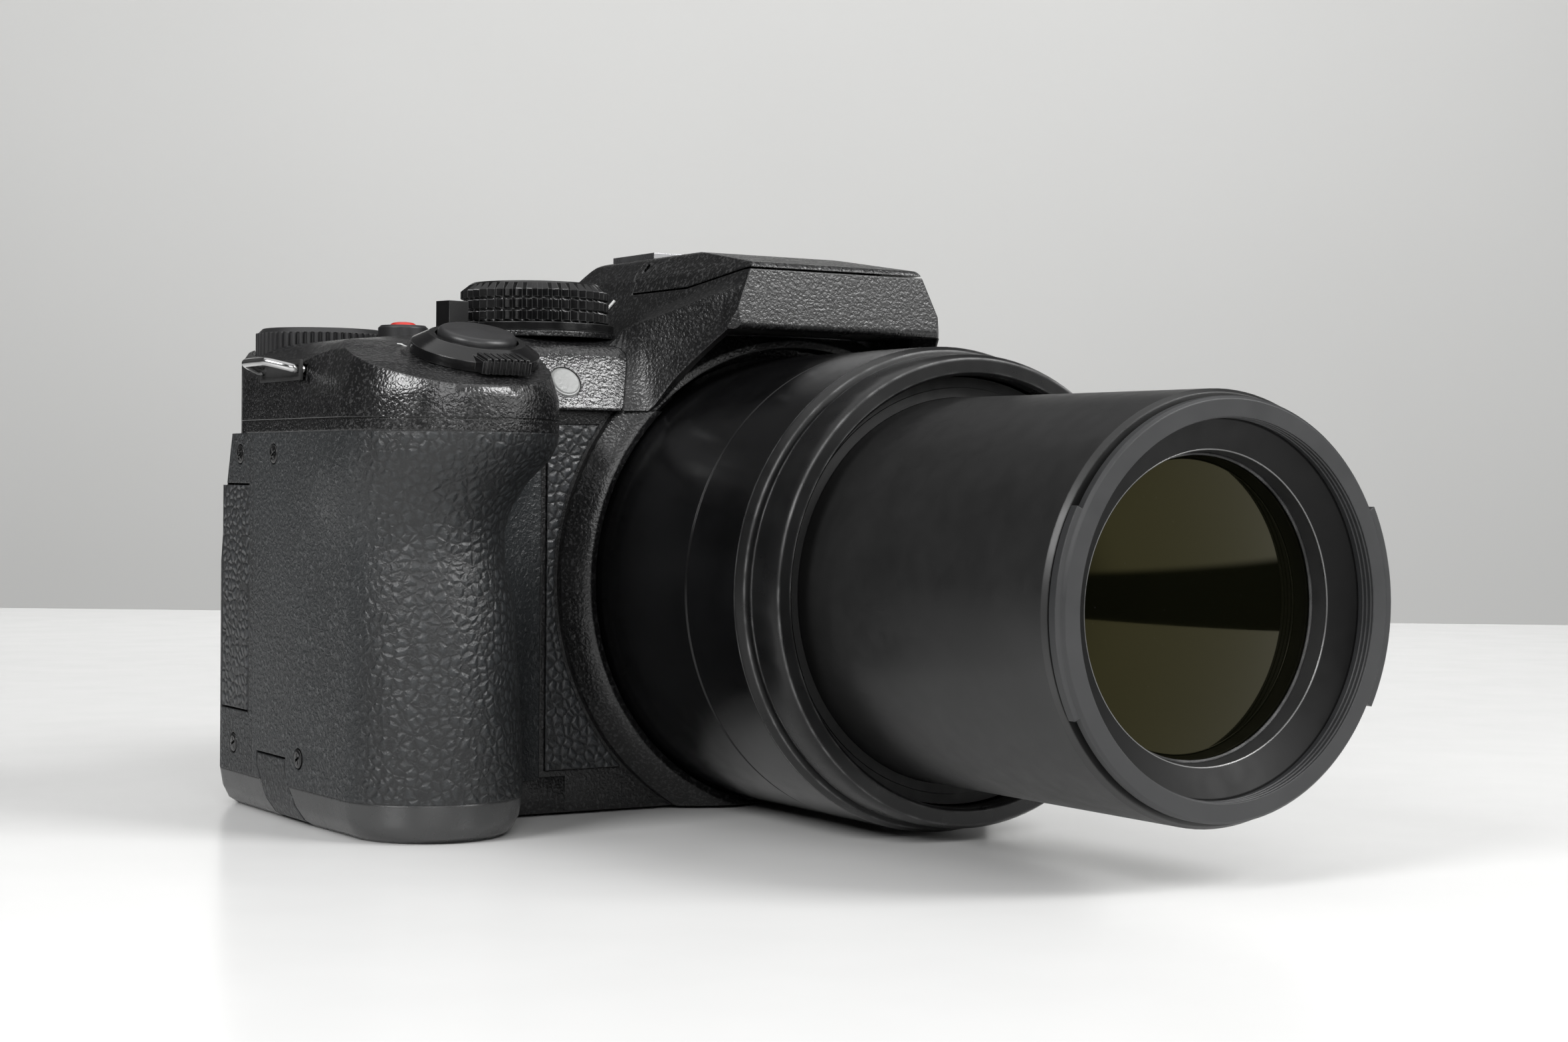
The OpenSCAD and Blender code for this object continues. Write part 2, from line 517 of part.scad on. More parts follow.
// Flash lid in side view, with play d all round
lid_y = 77;
lid_z = roof_z - 2.1;
function lid_line(d) = concat([[30, hump(0.734) - d], [41, hump(0.706) - d], [58, hump(0.552) - d],
    [lid_y, hump(0.552) - d]],
    arc([lid_y, lid_z], 2.1 + d, -90, 90, 8), [[lid_y - 4, roof_z + 6], [30, roof_z + 6]]);

seat = [-61.4, 47, 72.6];
module seat_frame() translate(seat) rotate([shutter_lean, 0, 0]) children();
record = [-62.3, 72];
mode = [-37.2, 75];
rear = [-69.7, 88];
rear_floor = 72.1;
lamp = [-41.3, 55.5];
lamp_r = 2.7;
face_rise = (face_high[1] - face_low[1]) / (face_high[0] - face_low[0]);
lamp_z = face_low[1] + (lamp[1] - face_low[0]) * face_rise;
lamp_tilt = atan(face_rise);
module lamp_frame() translate([lamp[0], lamp[1], lamp_z]) rotate([lamp_tilt, 0, 0]) children();
eye_z = 78.2;
release = [74, hump(0.287)];

// Space taken by the roof out of the deck and shoulders
module roof_cut() sweep_y(0, 120, [[-24.4, 64], [-24.4, 74], [-21, 78], [-16.6, hump(0.706)],
    [-16.6, roof_z + 6],
    [16.6, roof_z + 6], [16.6, hump(0.706)], [21, 78], [24.4, 74], [24.4, 64]]);

module top_cover() color([0.1, 0.1, 0.11]) place() difference() {
    union() {
        difference() {
            union() {
                deck();
                shoulder();
            }
            deck_room();
            shoulder_room();
        }
        seat_frame() translate([0, 0, -5]) cylinder(r = 11.2, h = 5);
        seat_frame() cylinder(r = 8, h = 1);
        translate([rear[0], rear[1], rear_floor - 2]) cylinder(r = 11, h = 2);
        lamp_frame() translate([0, 0, -5]) cylinder(r = 4.4, h = 4);
        translate([mode[0], mode[1], deck_z - 4]) cylinder(r = 5, h = 3.5);
    }
    box([-200, -100, 0], [200, 200, seam_z]);
    box([join_x - eps, 0, 0], [100, flank_seam, ledge_z]);
    roof_cut();
    lug_rooms();
    on_lens(30) cylinder(r = collar_r + 0.05, h = 30.05, $fn = 128);
    translate([rear[0], rear[1], rear_floor]) cylinder(r = rear_r + gap, h = 20);
    translate([rear[0], rear[1], 60]) cylinder(r = 2 + run_fit, h = 30, $fn = 32);
    seat_frame() translate([0, 0, -9]) cylinder(r = 2.4 + run_fit, h = 20, $fn = 32);
    seat_frame() difference() {
        cylinder(r = 12.6, h = 13);
        cylinder(r = 8, h = 1);
    }
    translate([record[0], record[1], 66]) cylinder(r = 4 + run_fit, h = 20, $fn = 48);
    translate([mode[0], mode[1], 70]) cylinder(r = 3, h = 20, $fn = 32);
    lamp_frame() translate([0, 0, -1.6]) cylinder(r = lamp_r + run_fit, h = 6, $fn = 48);
}

module roof_cover() color([0.1, 0.1, 0.11]) place() difference() {
    union() {
        difference() {
            union() {
                intersection() {
                    roof();
                    roof_cut();
                }
                brow();
                hood();
            }
            roof_room(wall);
            box([-22.4, 58, 60], [22.4, 98, 76]);
            box([-well_w, 41.6, hump(0.13)], [well_w, 60, hump(0.76)]);
        }
        for (s = [-1, 1]) box([s * 10 - 1.8, lid_y, hump(0.4)], [s * 10 + 1.8, lid_y + 4, lid_z + 1.9]);
        for (s = [-1, 1]) along_x(s * 10 - 1.8, lid_y, lid_z) cylinder(r = 1.9, h = 3.6, $fn = 32);
    }
    on_lens(30) cylinder(r = barrel_r + 0.4, h = front_y - 30, $fn = 128);
    on_lens(50) cylinder(r = neck_r + 1, h = 12, $fn = 128);
    difference() {
        sweep_x(-40, 40, lid_line(gap));
        for (s = [-1, 1]) box([s * 10 - 1.8, lid_y - 1.2, lid_z - 9], [s * 10 + 1.8, lid_y + 6, roof_z + 3]);
    }
    along_x(-20, lid_y, lid_z) cylinder(r = 0.8, h = 40, $fn = 32);
    shoe_room(0);
    box([-12.4, 96, eye_z - 8], [12.4, 110, eye_z + 8]);
    along_x(10, release[0], release[1]) cylinder(r = 2.4 + run_fit, h = 20, $fn = 32);
    along_x(10, diopter[0], diopter[1]) cylinder(r = 1.2 + run_fit, h = 20, $fn = 32);
}

module flash_head() color([0.1, 0.1, 0.11]) place() difference() {
    union() {
        intersection() {
            difference() {
                roof();
                roof_room(1.7);
            }
            sweep_x(-40, 40, lid_line(0));
        }
        intersection() {
            roof();
            along_x(-13.4, lid_y, lid_z) cylinder(r = 1.9, h = 26.8, $fn = 32);
        }
        intersection() {
            roof();
            box([-head_w, 44, hump(0.19)], [head_w, 57, roof_z]);
        }
    }
    for (s = [-1, 1]) box([s * 10 - 2.2, lid_y - 2.8, lid_z - 10], [s * 10 + 2.2, lid_y + 6, roof_z + 3]);
    along_x(-20, lid_y, lid_z) cylinder(r = 0.8 + run_fit, h = 40, $fn = 32);
    box([1 - head_w, 43, hump(0.26)], [head_w - 1, 45.2, hump(0.636)]);
}

module flash_window() color([0.85, 0.86, 0.84]) place()
    box([1 - head_w, 43.4, hump(0.26)], [head_w - 1, 45.2, hump(0.636)]);

module flash_pin() color([0.6, 0.6, 0.62]) place() along_x(-12, lid_y, lid_z)
    cylinder(r = 0.8, h = 24, $fn = 32);

module flash_release() color([0.18, 0.18, 0.19]) place() {
    along_x(14, release[0], release[1]) cylinder(r = 2.4, h = 7, $fn = 32);
    along_x(13.4, release[0], release[1]) cylinder(r = 3.2, h = 1.6, $fn = 32);
}

// Hot shoe sunk in the roof
shoe_y0 = 82;
shoe_y1 = 97;
module shoe_room(d) box([-10.6 - d, shoe_y0 - d, roof_z - 1.8 - d], [10.6 + d, 120, roof_z + 9]);
module hot_shoe() color([0.62, 0.62, 0.64]) place() difference() {
    box([-10.6, shoe_y0, roof_z - 1.8], [10.6, shoe_y1, roof_z + 1.3]);
    box([-9.35, shoe_y0 + 1.5, roof_z - 1.2], [9.35, 120, roof_z + 0.8]);
    box([-6.3, shoe_y0 + 1.5, roof_z], [6.3, 120, roof_z + 3]);
    translate([0, 89.5, roof_z - 3]) cylinder(r = 1.3, h = 3, $fn = 32);
}

// Dials and levers on the deck

mode_base_top = deck_z + 0.9;
lever_top = mode_base_top + 1.4;
mode_bottom = lever_top + 0.15;

module mode_dial_base() color([0.1, 0.1, 0.11]) place() translate([mode[0], mode[1], 0]) {
    translate([0, 0, deck_z - 0.6]) cylinder(r = 3, h = mode_bottom + mode_h - 1.4 - deck_z + 0.6, $fn = 32);
    translate([0, 0, deck_z]) cylinder(r = mode_r + 1, h = mode_base_top - deck_z);
}

module power_lever() color([0.13, 0.13, 0.14]) place() translate([mode[0], mode[1], 0]) difference() {
    union() {
        translate([0, 0, mode_base_top + 0.1]) cylinder(r = mode_r + 0.8,
            h = lever_top - mode_base_top - 0.1);
        rotate([0, 0, 192]) box([mode_r - 1, -1.8, mode_base_top + 0.1], [mode_r + 6.6, 1.8, lever_top]);
        rotate([0, 0, 192]) box([mode_r + 2.8, -1.8, mode_base_top + 0.1],
            [mode_r + 6.6, 1.8, lever_top + 3.2]);
    }
    cylinder(r = 3 + run_fit, h = 200, $fn = 32);
}

module knurl(r, n, depth, h) linear_extrude(h) polygon([for (i = [0:n - 1]) each [
    (r - depth) * turn(360 * i / n),
    r * turn(360 * (i + 0.25) / n), r * turn(360 * (i + 0.6) / n),
        (r - depth) * turn(360 * (i + 0.85) / n)]]);

module mode_dial() color([0.12, 0.12, 0.13]) place() translate([mode[0], mode[1], mode_bottom]) difference() {
    union() {
        cylinder(r = mode_r - 0.7, h = mode_h - 0.4);
        for (k = [0:2]) translate([0, 0, 0.2 + k * (mode_h - 0.9) / 3]) knurl(mode_r, 48, 0.45,
            (mode_h - 0.9) / 3 - 0.45);
        translate([0, 0, mode_h - 0.6]) cylinder(r1 = mode_r - 0.4, r2 = mode_r - 1, h = 0.6);
    }
    translate([0, 0, -1]) cylinder(r = 3 + run_fit, h = mode_h - 0.3, $fn = 32);
}

module rear_dial() color([0.13, 0.13, 0.14]) place() translate([rear[0], rear[1], rear_floor + 0.15]) {
    knurl(rear_r, 54, 0.5, 5.2);
    translate([0, 0, 5.2 - eps]) cylinder(r1 = rear_r - 0.3, r2 = rear_r - 1.1, h = 0.8);
    translate([0, 0, -3.2]) cylinder(r = 2, h = 4, $fn = 32);
}

module record_button() color([0.14, 0.14, 0.15]) place() translate([record[0], record[1], 0]) {
    translate([0, 0, deck_z - 3.4]) cylinder(r = 4, h = 4.2, $fn = 48);
    translate([0, 0, deck_z + 0.8 - eps]) cylinder(r1 = 4, r2 = 3.6, h = 0.4, $fn = 48);
    translate([0, 0, deck_z - 4.2]) cylinder(r = 4.8, h = 0.9, $fn = 48);
}

module zoom_lever() color([0.13, 0.13, 0.14]) place() seat_frame() difference() {
    union() {
        translate([0, 0, 0.1]) cylinder(r = 9.9, h = 1.5);
        translate([0, 0, 1.6 - eps]) cylinder(r1 = 9.9, r2 = 7.4, h = 1.6);
        translate([-4, -11.6, 0.5]) cube([8, 6, 1.9]);
        for (i = [-3:3]) translate([i * 1.05 - 0.3, -11.9, 0.5]) cube([0.6, 4, 2.4]);
    }
    translate([0, 0, -1]) cylinder(r = 8 + run_fit, h = 2.1);
    cylinder(r = shutter_r + gap, h = 20);
}

module shutter_button() color([0.15, 0.15, 0.16]) place() seat_frame() {
    translate([0, 0, -5]) cylinder(r = 2.4, h = 8, $fn = 32);
    translate([0, 0, 1 + stroke + 0.4]) cylinder(r = shutter_r, h = 1.2);
    translate([0, 0, 2.6 + stroke - eps]) rotate_extrude() polygon(concat([[0, 0]],
        [for (a = [0:10:90]) [shutter_r - 0.9 + 0.9 * cos(a), 0.9 * sin(a)]], [[0, 1.1]]));
}

module af_lamp() color([0.9, 0.9, 0.88]) place() lamp_frame() {
    translate([0, 0, -1.6]) cylinder(r = lamp_r, h = 1.4, $fn = 48);
    translate([0, 0, -0.2 - eps]) cylinder(r1 = lamp_r, r2 = lamp_r - 0.5, h = 0.5, $fn = 48);
}

// Fittings

lug_z = 69.6;
lug_drop = -4;
module lug_loop(x, s) translate([x, 69, lug_z]) difference() {
    linear_extrude(1.8) difference() {
        polygon([[-1.6 * s, -8], [s * 2, -8], [s * 6, -4.6], [s * 6, 4.6], [s * 2, 8], [-1.6 * s, 8]]);
        polygon([[s * 1.2, -5.4], [s * 2.4, -5.4], [s * 4.2, -3.6], [s * 4.2, 3.6], [s * 2.4, 5.4],
            [s * 1.2, 5.4]]);
    }
}
module lug_rooms() {
    box([grip_x - 1, 61, lug_z], [grip_x + 2.2, 77, lug_z + 1.8]);
    box([flank_x - 1.6, 67, lug_z + lug_drop], [flank_x + 1, 83, lug_z + lug_drop + 1.8]);
}
module strap_lugs() color([0.75, 0.75, 0.76]) place() {
    lug_loop(grip_x + 0.6, -1);
    translate([0, 6, lug_drop]) lug_loop(flank_x, 1);
}

module case_screws() color([0.15, 0.15, 0.16]) place() {
    for (s = side_screws) difference() {
        along_x(grip_x + 0.25, s[0], s[1]) cylinder(r = 1.5, h = 0.95, $fn = 32);
        along_x(grip_x - 1, s[0], s[1]) cube([0.45, 2, 3.2], center = true);
    }
    for (p = base_screws) difference() {
        translate([p[0], p[1], 0.1]) cylinder(r = 1.6, h = 0.8, $fn = 32);
        translate([p[0] - 1, p[1] - 0.22, 0]) cube([2, 0.45, 0.5]);
    }
}

module tripod_bush() color([0.6, 0.6, 0.62]) place() translate([socket_x, socket_y, 0]) difference() {
    union() {
        cylinder(r = 6, h = base_h + 1.6);
        translate([0, 0, base_h]) cylinder(r = 8.4, h = 1.6);
    }
    translate([0, 0, -1]) cylinder(r = tripod_r, h = tripod_depth + 1, $fn = 32);
}

// Chassis and electronics

plate_y = 66.6;
plate_t = 2;
eye_y = 80;
stand = [[-41, 12], [-41, 58], [flank_x - 10.4, 12], [flank_x - 10.4, 58]];

module chassis() color([0.45, 0.46, 0.48]) place() {
    difference() {
        union() {
            box([-46, plate_y, base_h], [flank_x - 5, plate_y + plate_t, 63]);
            box([room_x1, plate_y, 12], [-44, plate_y + plate_t, 42]);
            on_lens(plate_y) cylinder(r = 17, h = eye_y - plate_y);
        }
        on_lens(plate_y - 1) cylinder(r = 14, h = 40);
        box([socket_x - 9, plate_y - 1, 0], [socket_x + 9, plate_y + 4, base_h + 2]);
    }
    for (p = stand) along_y(p[0], front_y + 2.2, p[1])
        cylinder(r = 2.2, h = plate_y - front_y - 2.2 + eps, $fn = 24);
}

module sensor_board() color([0.1, 0.3, 0.18]) place() {
    box([-19, eye_y, lens_z - 17], [19, eye_y + 1.4, lens_z + 17]);
    box([-4.4, eye_y - 1.4, lens_z - 3.6], [4.4, eye_y + eps, lens_z + 3.6]);
}

module main_board() color([0.08, 0.25, 0.15]) place() {
    box([-34, 85.6, 12], [38, 87, 57]);
    box([-18, 83.6, 20], [-4, 85.6 + eps, 34]);
    box([8, 84, 40], [24, 85.6 + eps, 50]);
    for (x = [-30, 34]) for (z = [16, 53]) along_y(x, 87 - eps, z)
        cylinder(r = 2, h = lcd_floor - 2 - 87 + eps, $fn = 24);
}

module zoom_motor() color([0.5, 0.5, 0.52]) place() {
    along_y(-34, plate_y + plate_t, 55) cylinder(r = 5, h = 15);
    box([-42, plate_y + plate_t, 44], [-30, plate_y + plate_t + 5, 60]);
}

// Lens

guide_in = tube_r + run_fit;
guide_out = tube_r + 0.4545 * (rim_r - tube_r);
cam_in = guide_out + run_fit;
cam_out = rim_r - 0.2;
spigot_r = rim(0.5);
pin_y = 8;
slot_fit = 0.1;

module barrel_shell() color([0.08, 0.08, 0.09]) place() difference() {
    on_lens() rotate_extrude($fn = 128) polygon([[barrel_r, 9], [barrel_r, 22.8], [barrel_r - 0.35, 23],
        [barrel_r - 0.35, 23.4], [barrel_r - 0.1, 23.6], [barrel_r - 0.1, front_y], [neck_r, front_y],
            [neck_r, front_y + 4],
        [cam_out + 0.5, front_y + 4], [cam_out + 0.5, 15], [spigot_r, 15], [spigot_r, 9]]);
    for (b = [[32.2, 12], [43, 14]]) on_lens(b[0]) intersection() {
        tube(60, barrel_r - 1.4, 3.6, $fn = 128);
        linear_extrude(4) polygon([[0, 0], 60 * turn(-b[1]), 60 * turn(b[1])]);
    }
}

module barrel_trim() color([0.16, 0.16, 0.17]) place() on_lens() rotate_extrude($fn = 128)
    polygon([[rim_r, 0.5], [rim(0.109), 0], [rim(0.554), 0], [rim(0.685), 1.2], [rim(0.728), 6.1],
        [rim(0.609), 6.4], [rim(0.609), 6.9], [rim(0.87), 7.1], [barrel_r, 8.6], [barrel_r, 9],
        [spigot_r, 9], [spigot_r, 14], [cam_out + 0.5, 14], [cam_out + 0.5, 3.2], [rim_r, 3.2]]);

module guide_tube() color([0.1, 0.1, 0.1]) place() difference() {
    union() {
        on_lens(4) tube(guide_out, guide_in, plate_y - 4, $fn = 128);
        on_lens(plate_y - 1.5) tube(cam_out + 2, guide_in, 1.5, $fn = 128);
    }
    for (k = [0:2]) on_lens() rotate([0, 0, 30 + 120 * k]) hull() for (y = [pin_y - 0.4,
        pin_y + zoom_travel + 0.4])
        translate([0, 0, y]) rotate([0, 90, 0]) translate([0, 0, tube_r - 9])
            cylinder(r = pin_r + slot_fit, h = 14, $fn = 32);
}

slot_k = cam_out * cam_turn * PI / 180 / zoom_travel;
slot_half = (pin_r + 0.3) * sqrt(1 + slot_k * slot_k);
slot_over = 2.6;

function slot_ring(s) = [for (q = [[cam_in - 3, -slot_half], [cam_out + 3, -slot_half],
    [cam_out + 3, slot_half],
    [cam_in - 3, slot_half]]) let(a = -cam_turn * s / zoom_travel)
    [q[0] * cos(a) - q[1] * sin(a), q[0] * sin(a) + q[1] * cos(a), pin_y + s]];

module cam_ring() color([0.35, 0.35, 0.36]) place() on_lens() difference() {
    translate([0, 0, 4.2]) tube(cam_out, cam_in, plate_y - 6.2, $fn = 128);
    for (k = [0:2]) rotate([0, 0, 30 + 120 * k])
        skin([for (i = [0:40]) slot_ring(-slot_over + (zoom_travel + 2 * slot_over) * i / 40)]);
}

module zoom_tube() color([0.09, 0.09, 0.1]) place() {
    on_lens() rotate_extrude($fn = 128) polygon([[tube_r, -zoom_out + 0.8], [tube_r, 12], [tube_r - 2, 12],
        [tube_r - 2, -zoom_out], [tube_r - 0.5, -zoom_out]]);
    for (k = [0:2]) on_lens(pin_y) rotate([0, 0, 30 + 120 * k]) rotate([0, 90, 0])
        translate([0, 0, tube_r - 1]) cylinder(r = pin_r, h = cam_out - tube_r + 0.8, $fn = 32);
}

ring_r = tube_r - 1;
module front_ring() color([0.14, 0.14, 0.15]) place() on_lens() {
    rotate_extrude($fn = 128) polygon([[ring_r - 0.4, -zoom_out - 2.5], [ring_r, -zoom_out - 2.1],
        [ring_r, -zoom_out - 1],
        [ring_r - 0.8, -zoom_out - 0.8], [ring_r - 0.8, -zoom_out], [tube_r - 2, -zoom_out],
            [tube_r - 2, -zoom_out + 4],
        [tube_r - 3, -zoom_out + 4], [tube_r - 3, -zoom_out + 0.4], [thread_r, -zoom_out + 0.4],
            [thread_r, -zoom_out - 2.5]]);
    for (a = [0, 180]) rotate([0, 0, a]) intersection() {
        translate([0, 0, -zoom_out - 2.1]) tube(tube_r - 0.1, ring_r - 0.5, 1.3, $fn = 128);
        linear_extrude(200, center = true) polygon([[0, 0], 60 * turn(-28), [70, 0], 60 * turn(28)]);
    }
}

cell_r = thread_r - 5.2;
module name_ring() color([0.06, 0.06, 0.07]) place() on_lens(-zoom_out) rotate_extrude($fn = 128)
    polygon([[tube_r - 3, 0.4], [thread_r - 0.3, 0.4], [thread_r - 4.2, 2], [thread_r - 4.3, 2.6],
        [cell_r, 8],
        [cell_r, 13], [cell_r + 2, 13], [thread_r - 2.8, 4], [tube_r - 3, 4]]);

module lens_blank(r, f, b, t) rotate_extrude($fn = 96)
    polygon(concat([for (i = [0:8]) let(x = r * i / 8) [x, -f * (1 - x * x / r / r)]],
    [for (i = [8:-1:0]) let(x = r * i / 8) [x, t + b * (1 - x * x / r / r)]]));

module front_lens() color([0.3, 0.35, 0.3]) place()
    on_lens(-zoom_out + 9.4) lens_blank(cell_r - 0.03, 2.2, 0, 3);
module inner_lens() color([0.3, 0.32, 0.36]) place()
    on_lens(-zoom_out + 22) lens_blank(tube_r - 2.03, 2, 2, 5);
module rear_lens() color([0.3, 0.32, 0.36]) place() on_lens(plate_y + 1) lens_blank(13.97, 0, 2, 4);

// Controls on the barrel's flank, sliding round the lens axis
module flank_slider(y, l, a, pad) on_lens() {
    intersection() {
        translate([0, 0, y]) tube(barrel_r + pad, barrel_r + run_fit, l, $fn = 128);
        linear_extrude(200) polygon([[0, 0], 60 * turn(-a), 60 * turn(a)]);
    }
    intersection() {
        translate([0, 0, y + l / 2 - 1.4]) tube(barrel_r + 1, barrel_r - 1.3, 2.8, $fn = 128);
        linear_extrude(200) polygon([[0, 0], 60 * turn(-3), 60 * turn(3)]);
    }
}
module side_lever() color([0.13, 0.13, 0.14]) place() flank_slider(39.8, 10, 6, 2.4);
module focus_switch() color([0.13, 0.13, 0.14]) place() flank_slider(31, 6, 4.5, 1.8);

// Eyepiece

module eye_shape(y0, y1, w, h, r) sweep_y(y0, y1, rounded([[-w, eye_z - h, r], [w, eye_z - h, r],
    [w, eye_z + h, r],
    [-w, eye_z + h, r]], 6));
module eyecup() color([0.12, 0.12, 0.12]) place() difference() {
    union() {
        eye_shape(103, 106, 15, 9.6, 4);
        eye_shape(106 - eps, 113, 17, 11.2, 6);
        eye_shape(99, 103 + eps, 12.2, 7.8, 2);
    }
    eye_shape(98, 120, 10.6, 6.6, 2);
    eye_shape(105, 120, 14.4, 8.8, 5);
    eye_shape(103.6, 120, 11.6, 7.4, 2);
}
module eyepiece_lens() color([0.3, 0.32, 0.36]) place() eye_shape(103.6, 105, 11.6, 7.4, 2);

diopter = [96.6, hump(0.4406)];
module diopter_dial() color([0.13, 0.13, 0.14]) place() {
    along_x(20.4, diopter[0], diopter[1]) knurl(4.4, 24, 0.4, 2.2);
    along_x(15, diopter[0], diopter[1]) cylinder(r = 1.2, h = 5.6, $fn = 32);
}

// Screen, stowed with the glass outwards

screen_y0 = lcd_floor + gap;
screen_y1 = back_y + 0.4;
module screen_bracket() color([0.13, 0.13, 0.14]) place() {
    translate([hinge_sx, hinge_sy, lcd_z0 + 3.2]) cylinder(r = 2.6, h = lcd_z1 - lcd_z0 - 6.4, $fn = 48);
    translate([hinge_sx, hinge_sy, lcd_z0 + 0.4]) cylinder(r = 1.5, h = lcd_z1 - lcd_z0 - 0.8, $fn = 48);
    box([lcd_x1 - 0.6, hinge_sy - 1.6, lcd_z0 + 4.6], [hinge_sx, hinge_sy + 1.6, lcd_z1 - 4.6]);
}
module screen_housing() color([0.11, 0.11, 0.12]) place() difference() {
    sweep_y(screen_y0, screen_y1, rounded([[lcd_x0 + gap, lcd_z0 + gap, 2.5], [lcd_x1 - 0.6, lcd_z0 + gap, 1],
        [lcd_x1 - 0.6, lcd_z1 - gap, 1], [lcd_x0 + gap, lcd_z1 - gap, 2.5]]));
    box([lcd_x0 + 4, screen_y1 - 1.2, lcd_z0 + 2.4], [lcd_x1 - 4, screen_y1 + 1, lcd_z1 - 2.4]);
}
module screen_glass() color([0.05, 0.05, 0.06]) place()
    box([lcd_x0 + 4, screen_y1 - 1.2, lcd_z0 + 2.4], [lcd_x1 - 4, screen_y1, lcd_z1 - 2.4]);

// Buttons on the back: x, z, radius

lock_b = [-44, 54, 3];
play_b = [-44, 45, 2.6];
disp_b = [-62, 13.4, 2.8];
delete_b = [-46, 13.4, 2.8];
pad_x = -54;
pad_z = 28;
back_buttons = [lock_b, play_b, disp_b, delete_b];
module back_button(b) {
    along_y(b[0], back_y - 4, b[1]) cylinder(r = b[2], h = 5.1, $fn = 48);
    along_y(b[0], back_y - 4.4, b[1]) cylinder(r = b[2] + 0.8, h = 0.9, $fn = 48);
}
module af_lock_button() color([0.15, 0.15, 0.16]) place() back_button(lock_b);
module play_button() color([0.15, 0.15, 0.16]) place() back_button(play_b);
module disp_button() color([0.15, 0.15, 0.16]) place() back_button(disp_b);
module delete_button() color([0.15, 0.15, 0.16]) place() back_button(delete_b);
module cursor_pad() color([0.14, 0.14, 0.15]) place() {
    along_y(pad_x, back_y + stroke + 0.1, pad_z) tube(10.4, 5.4, 1.2);
    for (s = [-1, 1]) along_y(pad_x + s * 8.2, back_y - 5, pad_z) cylinder(r = 1, h = 6 + stroke, $fn = 32);
}
module menu_button() color([0.15, 0.15, 0.16]) place() {
    along_y(pad_x, back_y + stroke + 0.1, pad_z) cylinder(r = 4.9, h = 1.6, $fn = 48);
    along_y(pad_x, back_y - 5, pad_z) cylinder(r = 2, h = 6 + stroke, $fn = 32);
}

bottom_cover();
battery_door();
battery_latch();
battery();
memory_card();
battery_box();
grip_cover();
front_cover();
front_leather();
rear_cover();
thumb_rest();
terminal_door();
dc_flap();
top_cover();
roof_cover();
flash_head();
flash_window();
flash_pin();
flash_release();
hot_shoe();
mode_dial_base();
mode_dial();
power_lever();
rear_dial();
record_button();
zoom_lever();
shutter_button();
af_lamp();
strap_lugs();
case_screws();
tripod_bush();
chassis();
barrel_shell();
barrel_trim();
guide_tube();
cam_ring();
zoom_tube();
front_ring();
name_ring();
front_lens();
inner_lens();
rear_lens();
sensor_board();
main_board();
zoom_motor();
eyecup();
eyepiece_lens();
diopter_dial();
screen_bracket();
screen_housing();
screen_glass();
af_lock_button();
play_button();
cursor_pad();
menu_button();
disp_button();
delete_button();
mic_cover();
side_lever();
focus_switch();
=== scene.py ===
import bpy
import json
import math
from mathutils import Matrix, Vector

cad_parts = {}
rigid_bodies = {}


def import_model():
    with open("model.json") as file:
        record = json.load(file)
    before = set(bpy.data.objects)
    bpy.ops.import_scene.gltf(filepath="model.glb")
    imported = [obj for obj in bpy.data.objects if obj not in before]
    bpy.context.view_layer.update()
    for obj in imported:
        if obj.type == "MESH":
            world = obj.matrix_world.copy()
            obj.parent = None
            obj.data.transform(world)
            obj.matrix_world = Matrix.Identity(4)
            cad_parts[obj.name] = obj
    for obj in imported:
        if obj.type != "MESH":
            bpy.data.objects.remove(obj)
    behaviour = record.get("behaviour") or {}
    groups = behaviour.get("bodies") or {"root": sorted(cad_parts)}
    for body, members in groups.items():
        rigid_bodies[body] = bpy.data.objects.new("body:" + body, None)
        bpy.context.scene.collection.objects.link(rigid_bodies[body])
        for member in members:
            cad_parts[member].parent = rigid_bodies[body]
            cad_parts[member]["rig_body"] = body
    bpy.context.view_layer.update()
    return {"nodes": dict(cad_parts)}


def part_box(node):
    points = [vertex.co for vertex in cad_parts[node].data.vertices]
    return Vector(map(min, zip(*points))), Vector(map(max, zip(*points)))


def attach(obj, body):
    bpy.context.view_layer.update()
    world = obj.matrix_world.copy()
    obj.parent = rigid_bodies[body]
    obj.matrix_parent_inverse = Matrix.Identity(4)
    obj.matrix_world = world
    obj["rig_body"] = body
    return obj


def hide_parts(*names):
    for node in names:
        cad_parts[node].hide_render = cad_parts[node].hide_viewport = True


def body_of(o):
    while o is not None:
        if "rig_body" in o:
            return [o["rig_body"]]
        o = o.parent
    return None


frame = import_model()
nodes = frame["nodes"]
scene = bpy.context.scene
print("frame loaded:", len(nodes), "nodes")

# camera at the photograph's place, with its small roll; angles in degrees
photoCamera = {
    "place": (-0.217634, -0.391858, 0.054421),
    "yaw": 31.983,
    "pitch": -0.923,
    "roll": 0.569,
    "lens": 59.47,
    "sensor": 36.0,
    "clip": (0.01, 20),
}


